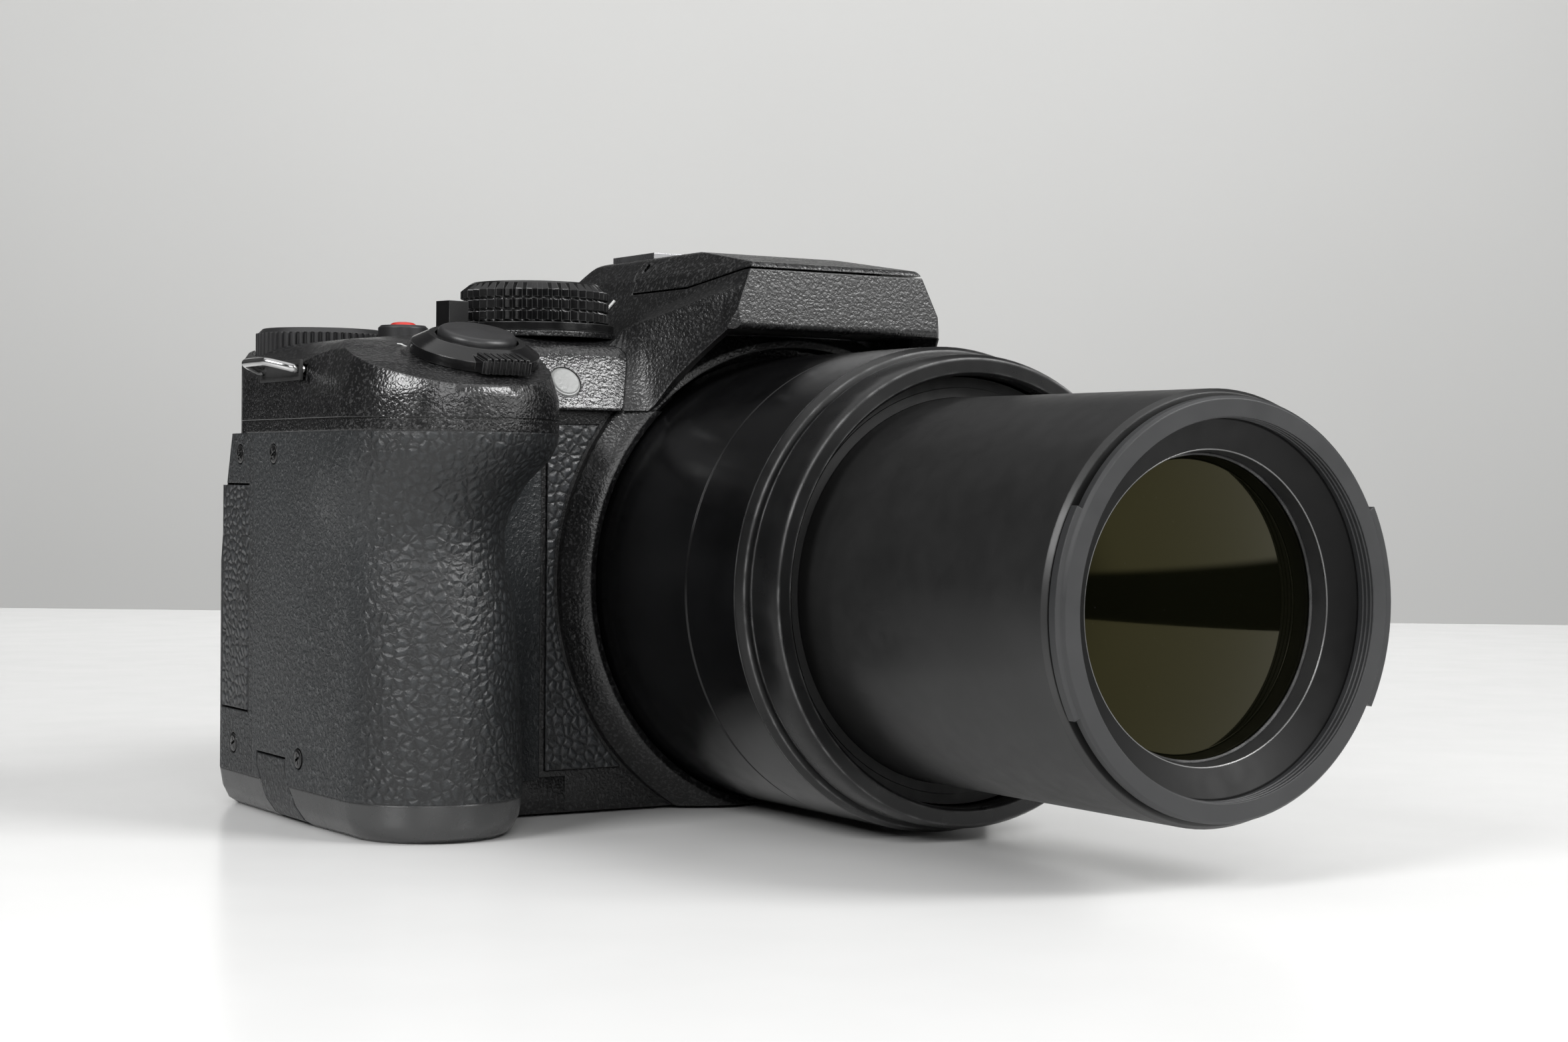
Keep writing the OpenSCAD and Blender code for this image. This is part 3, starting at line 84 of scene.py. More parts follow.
def addCamera(look):
    yaw, pitch, roll = (math.radians(look[key]) for key in ("yaw", "pitch", "roll"))
    ahead = Vector((math.sin(yaw) * math.cos(pitch), math.cos(yaw) * math.cos(pitch), math.sin(pitch)))
    right = Vector((math.cos(yaw), -math.sin(yaw), 0))
    above = right.cross(ahead)
    rightRolled = math.cos(roll) * right + math.sin(roll) * above
    aboveRolled = -math.sin(roll) * right + math.cos(roll) * above
    data = bpy.data.cameras.new("photoCamera")
    data.sensor_fit = "HORIZONTAL"
    data.sensor_width = look["sensor"]
    data.lens = look["lens"]
    data.clip_start, data.clip_end = look["clip"]
    camera = bpy.data.objects.new("photoCamera", data)
    turn = Matrix((rightRolled, aboveRolled, -ahead)).transposed().to_4x4()
    camera.matrix_world = Matrix.Translation(look["place"]) @ turn
    scene.collection.objects.link(camera)
    scene.camera = camera


addCamera(photoCamera)
print("camera set")


# helpers for modelling
def setMode(mode):
    bpy.ops.object.mode_set(mode=mode)


def deselectAll():
    if bpy.context.mode != "OBJECT":
        setMode("OBJECT")
    for item in scene.objects:
        item.select_set(False)


def activate(piece):
    deselectAll()
    piece.select_set(True)
    bpy.context.view_layer.objects.active = piece


def takeNew(name):  # the primitive just added, named
    piece = bpy.context.object
    piece.name = name
    piece.data.name = name
    return piece


def settle(piece, angle=30):  # place into the mesh, faces smooth up to an angle in degrees
    activate(piece)
    bpy.ops.object.transform_apply(location=True, rotation=True, scale=True)
    bpy.ops.object.shade_smooth_by_angle(angle=math.radians(angle))
    return piece


def applyAll(piece):
    activate(piece)
    for modifier in list(piece.modifiers):
        bpy.ops.object.modifier_apply(modifier=modifier.name)


def addBlock(name, middle, size):
    deselectAll()
    bpy.ops.mesh.primitive_cube_add(size=1, location=middle)
    block = takeNew(name)
    block.scale = size
    bpy.ops.object.transform_apply(location=True, scale=True)
    return block


def addWireRing(look, sides, place, turn=(0, 0, 0)):
    deselectAll()
    bpy.ops.mesh.primitive_torus_add(
        major_segments=sides[0], minor_segments=sides[1], major_radius=look["radius"],
        minor_radius=look["wire"], location=place, rotation=turn)
    return bpy.context.object


def roundEdges(piece, width, segments=2):
    modifier = piece.modifiers.new("round", "BEVEL")
    modifier.width, modifier.segments = width, segments
    applyAll(piece)


def joinPieces(pieces, name):
    deselectAll()
    for piece in pieces:
        piece.select_set(True)
    bpy.context.view_layer.objects.active = pieces[0]
    bpy.ops.object.join()
    return takeNew(name)


def dress(piece, finish, body):
    piece.data.materials.clear()
    piece.data.materials.append(finishes[finish])
    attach(piece, body)
    return piece


# finishes: patterns read Object coordinates, sizes in metres, a span is the part of a noise that counts
def startFinish(name):
    finish = bpy.data.materials.new(name)
    finish.use_nodes = True
    tree = finish.node_tree
    shader = tree.nodes["Principled BSDF"]
    place = tree.nodes.new("ShaderNodeTexCoord").outputs["Object"]
    return finish, tree, shader, place


def addNoise(tree, place, size, detail=2.0, rough=0.5, warp=0.0):
    noise = tree.nodes.new("ShaderNodeTexNoise")
    noise.inputs["Scale"].default_value = 1 / size
    noise.inputs["Detail"].default_value = detail
    noise.inputs["Roughness"].default_value = rough
    noise.inputs["Distortion"].default_value = warp
    tree.links.new(place, noise.inputs["Vector"])
    return noise.outputs["Fac"]


def addRange(tree, value, low, high, toLow, toHigh, smooth=False):
    node = tree.nodes.new("ShaderNodeMapRange")
    node.interpolation_type = "SMOOTHSTEP" if smooth else "LINEAR"
    for key, number in (("From Min", low), ("From Max", high), ("To Min", toLow), ("To Max", toHigh)):
        node.inputs[key].default_value = number
    tree.links.new(value, node.inputs["Value"])
    return node.outputs["Result"]


def addMath(tree, operation, first, second):
    node = tree.nodes.new("ShaderNodeMath")
    node.operation = operation
    for socket, value in zip(node.inputs, (first, second)):
        if isinstance(value, (int, float)):
            socket.default_value = value
        else:
            tree.links.new(value, socket)
    return node.outputs["Value"]


def addMix(tree, factor, first, second):
    node = tree.nodes.new("ShaderNodeMix")
    node.data_type = "RGBA"
    tree.links.new(factor, node.inputs[0])
    for socket, value in ((node.inputs[6], first), (node.inputs[7], second)):
        if isinstance(value, tuple):
            socket.default_value = (*value, 1)
        else:
            tree.links.new(value, socket)
    return node.outputs[2]


def addSplit(tree, place):  # the coordinates one by one
    split = tree.nodes.new("ShaderNodeSeparateXYZ")
    tree.links.new(place, split.inputs[0])
    return split.outputs


def addBump(tree, height, depth, under=None):
    bump = tree.nodes.new("ShaderNodeBump")
    bump.inputs["Distance"].default_value = depth
    bump.inputs["Strength"].default_value = 1.0
    tree.links.new(height, bump.inputs["Height"])
    if under:
        tree.links.new(under, bump.inputs["Normal"])
    return bump.outputs["Normal"]


pattern = {
    "mottleSize": 0.012, "mottleDetail": 3, "mottleSpan": (0.35, 0.65), "roughSize": 0.003,
    "roughDetail": 4, "roughSpan": (0.3, 0.7), "grainRough": 0.55, "grainWarp": 0.3,
    "grainSpan": (0.25, 0.75), "grainGlintSpan": (0.52, 0.66), "wearAndGlintSize": 0.004, "wearAndGlintSpan": (0.4, 0.7),
    "wearAndGlintLeast": 0.25, "edgeSamples": 4, "edgeSpan": (0.72, 0.98), "grooveTint": (0.002, 0.002, 0.002),
    "grooveDepth": 0.0002,
}


def addEdge(tree, radius):  # normals of rounded edges
    bevel = tree.nodes.new("ShaderNodeBevel")
    bevel.samples = pattern["edgeSamples"]
    bevel.inputs["Radius"].default_value = radius
    return bevel.outputs["Normal"]


# mask for pale edges: partly wear, partly a painted highlight on the edges
def addWearAndGlint(tree, place, rounded):  # in patches, how far a rounded normal leans from the flat one
    geometry = tree.nodes.new("ShaderNodeNewGeometry")
    dot = tree.nodes.new("ShaderNodeVectorMath")
    dot.operation = "DOT_PRODUCT"
    tree.links.new(rounded, dot.inputs[0])
    tree.links.new(geometry.outputs["Normal"], dot.inputs[1])
    lean = addRange(tree, dot.outputs["Value"], *pattern["edgeSpan"], 1, 0)
    patches = addNoise(tree, place, pattern["wearAndGlintSize"])
    patches = addRange(tree, patches, *pattern["wearAndGlintSpan"], pattern["wearAndGlintLeast"], 1)
    return addMath(tree, "MULTIPLY", lean, patches)


def addGrain(tree, place, size, detail):
    return addNoise(tree, place, size, detail, pattern["grainRough"], pattern["grainWarp"])


def addMottle(tree, place, size, dark, light):
    mottle = addNoise(tree, place, size, pattern["mottleDetail"])
    return addMix(tree, addRange(tree, mottle, *pattern["mottleSpan"], 0, 1), dark, light)


def makeFinish(name, look):
    finish, tree, shader, place = startFinish(name)
    colour = addMottle(tree, place, pattern["mottleSize"], look["dark"], look["light"])
    normal = None
    if "grainGlint" in look:  # painted highlight: raised grain a little paler than the hollows between it
        size, _, detail = look["grain"][0]
        raised = addRange(tree, addGrain(tree, place, size, detail), *pattern["grainGlintSpan"], 0, 1)
        colour = addMix(tree, raised, colour, look["grainGlint"])
    if "edge" in look:
        normal = addEdge(tree, look["edge"])
        if "wearAndGlint" in look:
            # pale edges in patches: partly wear, partly a painted highlight on the edges
            colour = addMix(tree, addWearAndGlint(tree, place, normal), colour, look["wearAndGlint"])
    for height, width in look.get("grooves", []):  # fine moulded lines at one height
        above = addMath(tree, "SUBTRACT", addSplit(tree, place)["Z"], height)
        line = addRange(tree, addMath(tree, "ABSOLUTE", above, 0), width / 2, width, 1, 0, True)
        colour = addMix(tree, line, colour, pattern["grooveTint"])
        normal = addBump(tree, addMath(tree, "SUBTRACT", 1.0, line), pattern["grooveDepth"], normal)
    tree.links.new(colour, shader.inputs["Base Color"])
    fine = addNoise(tree, place, pattern["roughSize"], pattern["roughDetail"])
    rough = addRange(tree, fine, *pattern["roughSpan"], *look["rough"])
    tree.links.new(rough, shader.inputs["Roughness"])
    for size, depth, detail in look.get("grain", []):
        height = addRange(tree, addGrain(tree, place, size, detail), *pattern["grainSpan"], 0, 1)
        normal = addBump(tree, height, depth, normal)
    if normal:
        tree.links.new(normal, shader.inputs["Normal"])
    for key, socket in (("specular", "Specular IOR Level"), ("metallic", "Metallic")):
        if key in look:
            shader.inputs[socket].default_value = look[key]
    return finish


# the pale tint on raised paint grain is a painted highlight
finishLooks = {  # each grain is a size, a depth and a detail, each groove a height and a width
    "hammeredPaint": {
        "dark": (0.003, 0.003, 0.0032), "light": (0.005, 0.005, 0.0053), "rough": (0.2, 0.27),
        "grain": [(0.0005, 0.000055, 1.2)], "edge": 0.0004, "wearAndGlint": (0.015, 0.015, 0.016),
        "grooves": [(0.0629, 0.00022)], "grainGlint": (0.032, 0.032, 0.0325),
        "specular": 0.75,
    },
    "roofPaint": {
        "dark": (0.004, 0.004, 0.0042), "light": (0.006, 0.006, 0.0063), "rough": (0.26, 0.33),
        "grain": [(0.0005, 0.00005, 1.2)], "edge": 0.0004, "wearAndGlint": (0.015, 0.015, 0.016),
        "grainGlint": (0.03, 0.03, 0.0305), "specular": 0.55,
    },
    "wrinklePaint": {
        "dark": (0.003, 0.003, 0.0032), "light": (0.005, 0.005, 0.0053), "rough": (0.24, 0.32),
        "grain": [(0.00062, 0.00012, 1.5)], "edge": 0.0004, "wearAndGlint": (0.015, 0.015, 0.016),
        "grainGlint": (0.045, 0.045, 0.0455), "specular": 0.6,
    },
    "smoothShell": {
        "dark": (0.012, 0.012, 0.0125), "light": (0.017, 0.017, 0.018), "rough": (0.4, 0.5),
        "grain": [(0.0003, 0.000006, 2.0)], "edge": 0.0004, "wearAndGlint": (0.04, 0.04, 0.042),
    },
    "baseSatin": {
        "dark": (0.012, 0.0125, 0.013), "light": (0.017, 0.0175, 0.018), "rough": (0.24, 0.3),
        "grain": [(0.00022, 0.000008, 2.0)], "edge": 0.0005, "wearAndGlint": (0.035, 0.035, 0.036),
        "specular": 0.8,
    },
    "barrelGloss": {
        "dark": (0.003, 0.003, 0.0032), "light": (0.0045, 0.0045, 0.0048), "rough": (0.17, 0.24),
        "grain": [(0.00018, 0.000002, 2.0)], "edge": 0.0003, "wearAndGlint": (0.009, 0.009, 0.009),
        "specular": 0.32,
    },
    "tubeSatin": {
        "dark": (0.009, 0.009, 0.009), "light": (0.012, 0.012, 0.012), "rough": (0.36, 0.42),
        "grain": [(0.00016, 0.000003, 2.0)], "edge": 0.0003,
    },
    # its pale edges are mostly a painted highlight on the bevels
    "ringMetal": {
        "dark": (0.004, 0.004, 0.0042), "light": (0.007, 0.007, 0.0072), "rough": (0.26, 0.34),
        "grain": [(0.00016, 0.000003, 2.0)], "edge": 0.0006, "wearAndGlint": (0.42, 0.42, 0.42),
        "specular": 0.35,
    },
    "ringSlate": {
        "dark": (0.017, 0.0175, 0.0185), "light": (0.023, 0.0235, 0.0245), "rough": (0.42, 0.5),
        "grain": [(0.00016, 0.000004, 2.0)], "edge": 0.00025, "wearAndGlint": (0.06, 0.06, 0.062),
    },
    "ringBright": {
        "dark": (0.16, 0.16, 0.16), "light": (0.22, 0.22, 0.22), "rough": (0.25, 0.35), "edge": 0.0002,
        "metallic": 0.8,
    },
    # its pale edges are mostly a painted highlight
    "dialBlack": {
        "dark": (0.004, 0.004, 0.0042), "light": (0.007, 0.007, 0.0072), "rough": (0.14, 0.22),
        "grain": [(0.0002, 0.000003, 2.0)], "edge": 0.0002, "wearAndGlint": (0.2, 0.2, 0.2),
    },
    "keySatin": {
        "dark": (0.012, 0.012, 0.0125), "light": (0.017, 0.017, 0.018), "rough": (0.34, 0.44),
        "grain": [(0.0002, 0.000004, 2.0)], "edge": 0.0002, "wearAndGlint": (0.05, 0.05, 0.05),
    },
    "nameGloss": {
        "dark": (0.003, 0.003, 0.003), "light": (0.0045, 0.0045, 0.0045), "rough": (0.4, 0.5),
        "edge": 0.0002, "specular": 0.18,
    },
    "softRubber": {
        "dark": (0.012, 0.012, 0.012), "light": (0.02, 0.02, 0.02), "rough": (0.62, 0.75),
        "grain": [(0.0004, 0.000012, 3.0)], "edge": 0.0005,
    },
    "chromeWire": {
        "dark": (0.42, 0.42, 0.42), "light": (0.52, 0.52, 0.52), "rough": (0.1, 0.18), "edge": 0.0002,
        "metallic": 1.0,
    },
    "shoeSteel": {
        "dark": (0.36, 0.36, 0.37), "light": (0.46, 0.46, 0.47), "rough": (0.24, 0.34), "edge": 0.0002,
        "grain": [(0.0003, 0.000002, 2.0)], "metallic": 1.0,
    },
    "innerMetal": {
        "dark": (0.3, 0.3, 0.31), "light": (0.4, 0.4, 0.41), "rough": (0.4, 0.55),
        "metallic": 1.0,
    },
    "innerBlack": {
        "dark": (0.006, 0.006, 0.006), "light": (0.01, 0.01, 0.01), "rough": (0.6, 0.75),
        "grain": [(0.0005, 0.00001, 2.0)],
    },
    "goldContact": {
        "dark": (0.72, 0.5, 0.2), "light": (0.8, 0.58, 0.26), "rough": (0.2, 0.3),
        "metallic": 1.0,
    },
    "whitePrint": {"dark": (0.74, 0.74, 0.73), "light": (0.8, 0.8, 0.79), "rough": (0.4, 0.5)},
    "redPrint": {"dark": (0.42, 0.02, 0.015), "light": (0.5, 0.03, 0.02), "rough": (0.35, 0.45)},
    "lampFrost": {
        "dark": (0.2, 0.205, 0.2), "light": (0.27, 0.275, 0.27), "rough": (0.3, 0.42), "edge": 0.0003,
        "grain": [(0.0006, 0.00002, 1.0)],
    },
    "lampRim": {
        "dark": (0.5, 0.505, 0.5), "light": (0.58, 0.585, 0.58), "rough": (0.2, 0.3), "edge": 0.0002,
    },
    "cellWrap": {
        "dark": (0.02, 0.02, 0.022), "light": (0.03, 0.03, 0.032), "rough": (0.3, 0.4), "edge": 0.0003,
    },
    "cardBlue": {
        "dark": (0.012, 0.02, 0.06), "light": (0.016, 0.026, 0.075), "rough": (0.35, 0.45), "edge": 0.0002,
    },
    "boardGreen": {"dark": (0.008, 0.03, 0.016), "light": (0.012, 0.045, 0.022), "rough": (0.4, 0.55)},
}
finishes = {name: makeFinish(name, look) for name, look in finishLooks.items()}

# leather: pebbles with creases between them, painted shade in the creases, crinkle and pale flecks over both;
# the bend is in pebbles
leatherPattern = {
    "bendSize": 1.3, "bendAmount": 0.5, "cellRandom": 0.85, "crinkleDetail": 2.5, "crinkleRough": 0.6,
    "crinkleWarp": 0.5, "crinkleSpan": (0.32, 0.7), "crinkleOnPebbles": 0.35, "fleckOnPebbles": 0.2,
    "fleckDetail": 2, "fleckRough": 0.6, "fleckSpan": (0.54, 0.68), "fleckTint": (0.085, 0.088, 0.09),
    "mottleSize": 0.02, "creaseShadeSpan": (0.0, 0.6), "creaseShadeMost": 0.9, "sheenSpan": (0.1, 1.0),
    "specular": 0.5,
}


def addCells(tree, place, size):  # distance to the nearest edge between cells
    cells = tree.nodes.new("ShaderNodeTexVoronoi")
    cells.feature = "DISTANCE_TO_EDGE"
    cells.inputs["Scale"].default_value = 1 / size
    cells.inputs["Randomness"].default_value = leatherPattern["cellRandom"]
    tree.links.new(place, cells.inputs["Vector"])
    return cells.outputs["Distance"]


def addBend(tree, place, size, amount):  # the same coordinates, pushed about a little
    noise = tree.nodes.new("ShaderNodeTexNoise")
    noise.inputs["Scale"].default_value = 1 / size
    tree.links.new(place, noise.inputs["Vector"])
    shift = tree.nodes.new("ShaderNodeVectorMath")
    shift.operation = "MULTIPLY_ADD"
    tree.links.new(noise.outputs["Color"], shift.inputs[0])
    shift.inputs[1].default_value = (amount, amount, amount)
    tree.links.new(place, shift.inputs[2])
    return shift.outputs["Vector"]


def makeLeather(name, look):
    leather = leatherPattern
    finish, tree, shader, place = startFinish(name)
    bent = addBend(tree, place, look["pebble"] * leather["bendSize"], look["pebble"] * leather["bendAmount"])
    pebbles = addRange(tree, addCells(tree, bent, look["pebble"]), 0.0, look["crease"], 0, 1, True)
    crinkle = addNoise(tree, place, look["fine"], leather["crinkleDetail"], leather["crinkleRough"],
                       leather["crinkleWarp"])
    crinkle = addRange(tree, crinkle, *leather["crinkleSpan"], 0, 1)
    fleckMost = look["fleck"]
    if "fadeFrom" in look:  # pebbles round the finger side, fine grain along the flank
        split = addSplit(tree, place)
        lean = addMath(tree, "MULTIPLY_ADD", split["X"], look["fadeLean"])
        tree.links.new(split["Y"], lean.node.inputs[2])
        coarse = addRange(tree, lean, look["fadeFrom"], look["fadeTo"], 1, 0, True)
        pebbles = addMath(tree, "MAXIMUM", pebbles, addMath(tree, "SUBTRACT", 1.0, coarse))
        calm = addRange(tree, coarse, 0, 1, 1, leather["crinkleOnPebbles"])
        crinkle = addMath(tree, "MULTIPLY", crinkle, calm)
        fleckMost = addRange(tree, coarse, 0, 1, look["fleck"], look["fleck"] * leather["fleckOnPebbles"])
    normal = addEdge(tree, look["edge"])
    normal = addBump(tree, pebbles, look["depth"], normal)
    normal = addBump(tree, crinkle, look["fineDepth"], normal)
    tree.links.new(normal, shader.inputs["Normal"])
    colour = addMottle(tree, place, leather["mottleSize"], look["dark"], look["light"])
    # painted shade: darker in the creases between pebbles
    valley = addRange(tree, pebbles, *leather["creaseShadeSpan"], leather["creaseShadeMost"], 0)
    colour = addMix(tree, valley, colour, look["valley"])
    fleck = addNoise(tree, place, look["fine"], leather["fleckDetail"], leather["fleckRough"])
    fleck = addRange(tree, fleck, *leather["fleckSpan"], 0, 1, True)
    fleck = addMath(tree, "MULTIPLY", fleck, fleckMost)
    colour = addMix(tree, fleck, colour, leather["fleckTint"])
    tree.links.new(colour, shader.inputs["Base Color"])
    glossy, dull = look["rough"]
    tree.links.new(addRange(tree, crinkle, *leather["sheenSpan"], dull, glossy), shader.inputs["Roughness"])
    shader.inputs["Specular IOR Level"].default_value = leather["specular"]
    return finish


# the dark crease tint of the leather is painted shade
slate = {"dark": (0.0145, 0.016, 0.017), "light": (0.019, 0.021, 0.0225), "valley": (0.006, 0.0064, 0.0068)}
leatherLooks = {
    "gripLeather": {
        "pebble": 0.0015, "crease": 0.42, "depth": 0.00015, "fine": 0.0007, "fineDepth": 0.00012,
        "edge": 0.0004, "fadeFrom": -0.016, "fadeTo": -0.004, "fadeLean": -0.35, "fleck": 0.6,
        "rough": (0.32, 0.46), **slate,
    },
    "panelLeather": {
        "pebble": 0.0015, "crease": 0.42, "depth": 0.00015, "fine": 0.0005, "fineDepth": 0.00003,
        "edge": 0.0004, "fleck": 0.2, "rough": (0.3, 0.42), "dark": (0.026, 0.028, 0.03),
        "light": (0.034, 0.036, 0.039), "valley": slate["valley"],
    },
    "flankLeather": {
        "pebble": 0.0014, "crease": 0.2, "depth": 0.00002, "fine": 0.0007, "fineDepth": 0.00012,
        "edge": 0.0004, "fleck": 0.6, "rough": (0.34, 0.48), **slate,
    },
}
for name, look in leatherLooks.items():
    finishes[name] = makeLeather(name, look)

# glass: dark below a coated surface, with some dust and haze
glassPattern = {
    "dustSize": 0.0006, "dustSpan": (0.72, 0.8), "dustMost": 0.35, "dustTint": (0.02, 0.02, 0.02),
    "hazeSize": 0.01, "hazeSpan": (0.3, 0.7), "hazeRise": 0.03,
}
glassLooks = {
    "frontGlass": {"base": (0.002, 0.0021, 0.001), "tint": (0.78, 0.7, 0.3), "rough": 0.02, "spec": 0.3},
    "viewGlass": {"base": (0.004, 0.004, 0.006), "tint": (0.5, 0.4, 0.7), "rough": 0.03, "spec": 0.6},
    "screenGloss": {
        "base": (0.003, 0.003, 0.0033), "tint": (0.9, 0.92, 1.0), "rough": 0.04, "spec": 0.5,
        "panel": (-0.0135, 0.0135, 0.0458, 0.0543), "display": (0.016, 0.017, 0.02),
    },
}


def makeGlass(name, look):
    glass = glassPattern
    finish, tree, shader, place = startFinish(name)
    dust = addRange(tree, addNoise(tree, place, glass["dustSize"]), *glass["dustSpan"], 0, glass["dustMost"])
    colour = addMix(tree, dust, look["base"], glass["dustTint"])
    if "panel" in look:  # the display shows a shade paler than its border
        x0, z0, x1, z1 = look["panel"]
        split = addSplit(tree, place)
        inside = None
        for socket, low, high in (("X", x0, x1), ("Z", z0, z1)):
            offset = addMath(tree, "SUBTRACT", split[socket], (low + high) / 2)
            within = addMath(tree, "LESS_THAN", addMath(tree, "ABSOLUTE", offset, 0), (high - low) / 2)
            inside = addMath(tree, "MULTIPLY", inside, within) if inside else within
        colour = addMix(tree, inside, colour, look["display"])
    tree.links.new(colour, shader.inputs["Base Color"])
    haze = addRange(tree, addNoise(tree, place, glass["hazeSize"]), *glass["hazeSpan"], look["rough"],
                    look["rough"] + glass["hazeRise"])
    tree.links.new(haze, shader.inputs["Roughness"])
    shader.inputs["Specular IOR Level"].default_value = look["spec"]
    shader.inputs["Specular Tint"].default_value = (*look["tint"], 1)
    return finish


for name, look in glassLooks.items():
    finishes[name] = makeGlass(name, look)
print("finishes made:", len(finishes))

squareOn = 0.9  # a face looks along an axis when its normal has more than this of it


def pickVerts(piece, test):  # in edit mode, only the vertices that pass
    setMode("OBJECT")
    mesh = piece.data
    for group in (mesh.polygons, mesh.edges):
        for item in group:
            item.select = False
    for vert in mesh.vertices:
        vert.select = test(vert.co)
    setMode("EDIT")
    bpy.ops.mesh.select_mode(type="VERT")


def pickFaces(piece, test):  # in edit mode, only the faces that pass
    setMode("OBJECT")
    mesh = piece.data
    for group in (mesh.vertices, mesh.edges):
        for item in group:
            item.select = False
    for face in mesh.polygons:
        face.select = test(face.center, face.normal)
    setMode("EDIT")
    bpy.ops.mesh.select_mode(type="FACE")


def extrude(move):
    bpy.ops.mesh.extrude_region_move(TRANSFORM_OT_translate={"value": move})


def resize(scale, centre):
    bpy.ops.transform.resize(value=scale, center_override=centre)


# smooth copies of the nodes whose CAD faces would show as facets
coverWeld = 0.000002
smoothCovers = {  # node, finish, slot, smooth up to this angle in degrees
    "gripShell": ("grip_cover", "gripLeather", "grip_rubber", 52),
    "topShell": ("top_cover", "hammeredPaint", "crinkle_paint", 52),
    "roofShell": ("roof_cover", "roofPaint", "crinkle_paint", 32),
    "frontShell": ("front_cover", "roofPaint", "crinkle_paint", 32),
    "rearShell": ("rear_cover", "smoothShell", "crinkle_paint", 35),
    "bottomShell": ("bottom_cover", "baseSatin", "satin_base", 48),
    "panelSkin": ("front_leather", "panelLeather", "grip_rubber", 35),
    "flashShell": ("flash_head", "wrinklePaint", "crinkle_paint", 28),
    "thumbPad": ("thumb_rest", "panelLeather", "grip_rubber", 35),
    "inletFlap": ("dc_flap", "flankLeather", "grip_rubber", 35),
    "barrelShell": ("barrel_shell", "barrelGloss", "barrel_black", 28),
    "trimRings": ("barrel_trim", "ringMetal", "dark_rings", 24),
    "innerTube": ("zoom_tube", "tubeSatin", "barrel_black", 28),
    "frontRing": ("front_ring", "ringSlate", "dark_rings", 28),
    "nameRing": ("name_ring", "nameGloss", "barrel_black", 20),
    "shutterKey": ("shutter_button", "keySatin", "black_key", 30),
    "zoomLever": ("zoom_lever", "dialBlack", "dark_rings", 30),
}


def addSmoothCopy(name, node, finish, slotName, angle):
    source = nodes[node]
    body = body_of(source)[0]
    piece = source.copy()
    piece.data = source.data.copy()
    for key in [key for key in piece.keys() if key.startswith("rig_")]:
        del piece[key]
    piece.parent = None
    piece.name = piece.data.name = name
    scene.collection.objects.link(piece)
    activate(piece)
    bpy.ops.mesh.customdata_custom_splitnormals_clear()
    setMode("EDIT")
    bpy.ops.mesh.select_all(action="SELECT")
    bpy.ops.mesh.remove_doubles(threshold=coverWeld)
    setMode("OBJECT")
    bpy.ops.object.shade_smooth_by_angle(angle=math.radians(angle))
    piece.modifiers.new("evenNormals", "WEIGHTED_NORMAL").keep_sharp = True
    applyAll(piece)
    dress(piece, finish, body)
    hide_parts(node)


for name, look in smoothCovers.items():
    addSmoothCopy(name, *look)
print("smooth covers:", len(smoothCovers))

pieceWeld = 0.000001


def cutWith(piece, cutter):  # takes the cutter's shape out of the piece
    activate(piece)
    modifier = piece.modifiers.new("cut", "BOOLEAN")
    modifier.operation = "DIFFERENCE"
    modifier.object = cutter
    bpy.ops.object.modifier_apply(modifier="cut")
    bpy.data.objects.remove(cutter)


def turnNormalsOut(piece):  # after a weld
    activate(piece)
    setMode("EDIT")
    bpy.ops.mesh.select_all(action="SELECT")
    bpy.ops.mesh.remove_doubles(threshold=pieceWeld)
    bpy.ops.mesh.normals_make_consistent(inside=False)
    setMode("OBJECT")


# mode dial with three rows of knurling and a toothed chamfer
dialLook = {
    "teeth": 44,
    "toothDepth": 0.0009,
    "rows": [  # height, how far in, whether the teeth show there
        (0.0, 0.0007, False), (0.0003, 0.0, True), (0.0017, 0.0, True), (0.00195, 0.0008, False),
        (0.0022, 0.0, True), (0.0036, 0.0, True), (0.00385, 0.0008, False), (0.0041, 0.0, True),
        (0.0053, 0.0, True), (0.0064, 0.0014, False), (0.0067, 0.0018, False),
    ],
    "rowMatch": 0.00001,
    "clear": 0.00002,  # inside the CAD dial's radius
    "rim": 0.0009,
    "recess": (0.00015, 0.00012),  # slope round it, depth
    "bore": {"radius": 0.0033, "depth": 0.02, "sides": 48},
    "capRoom": 0.0008,
    "smooth": 25,
}


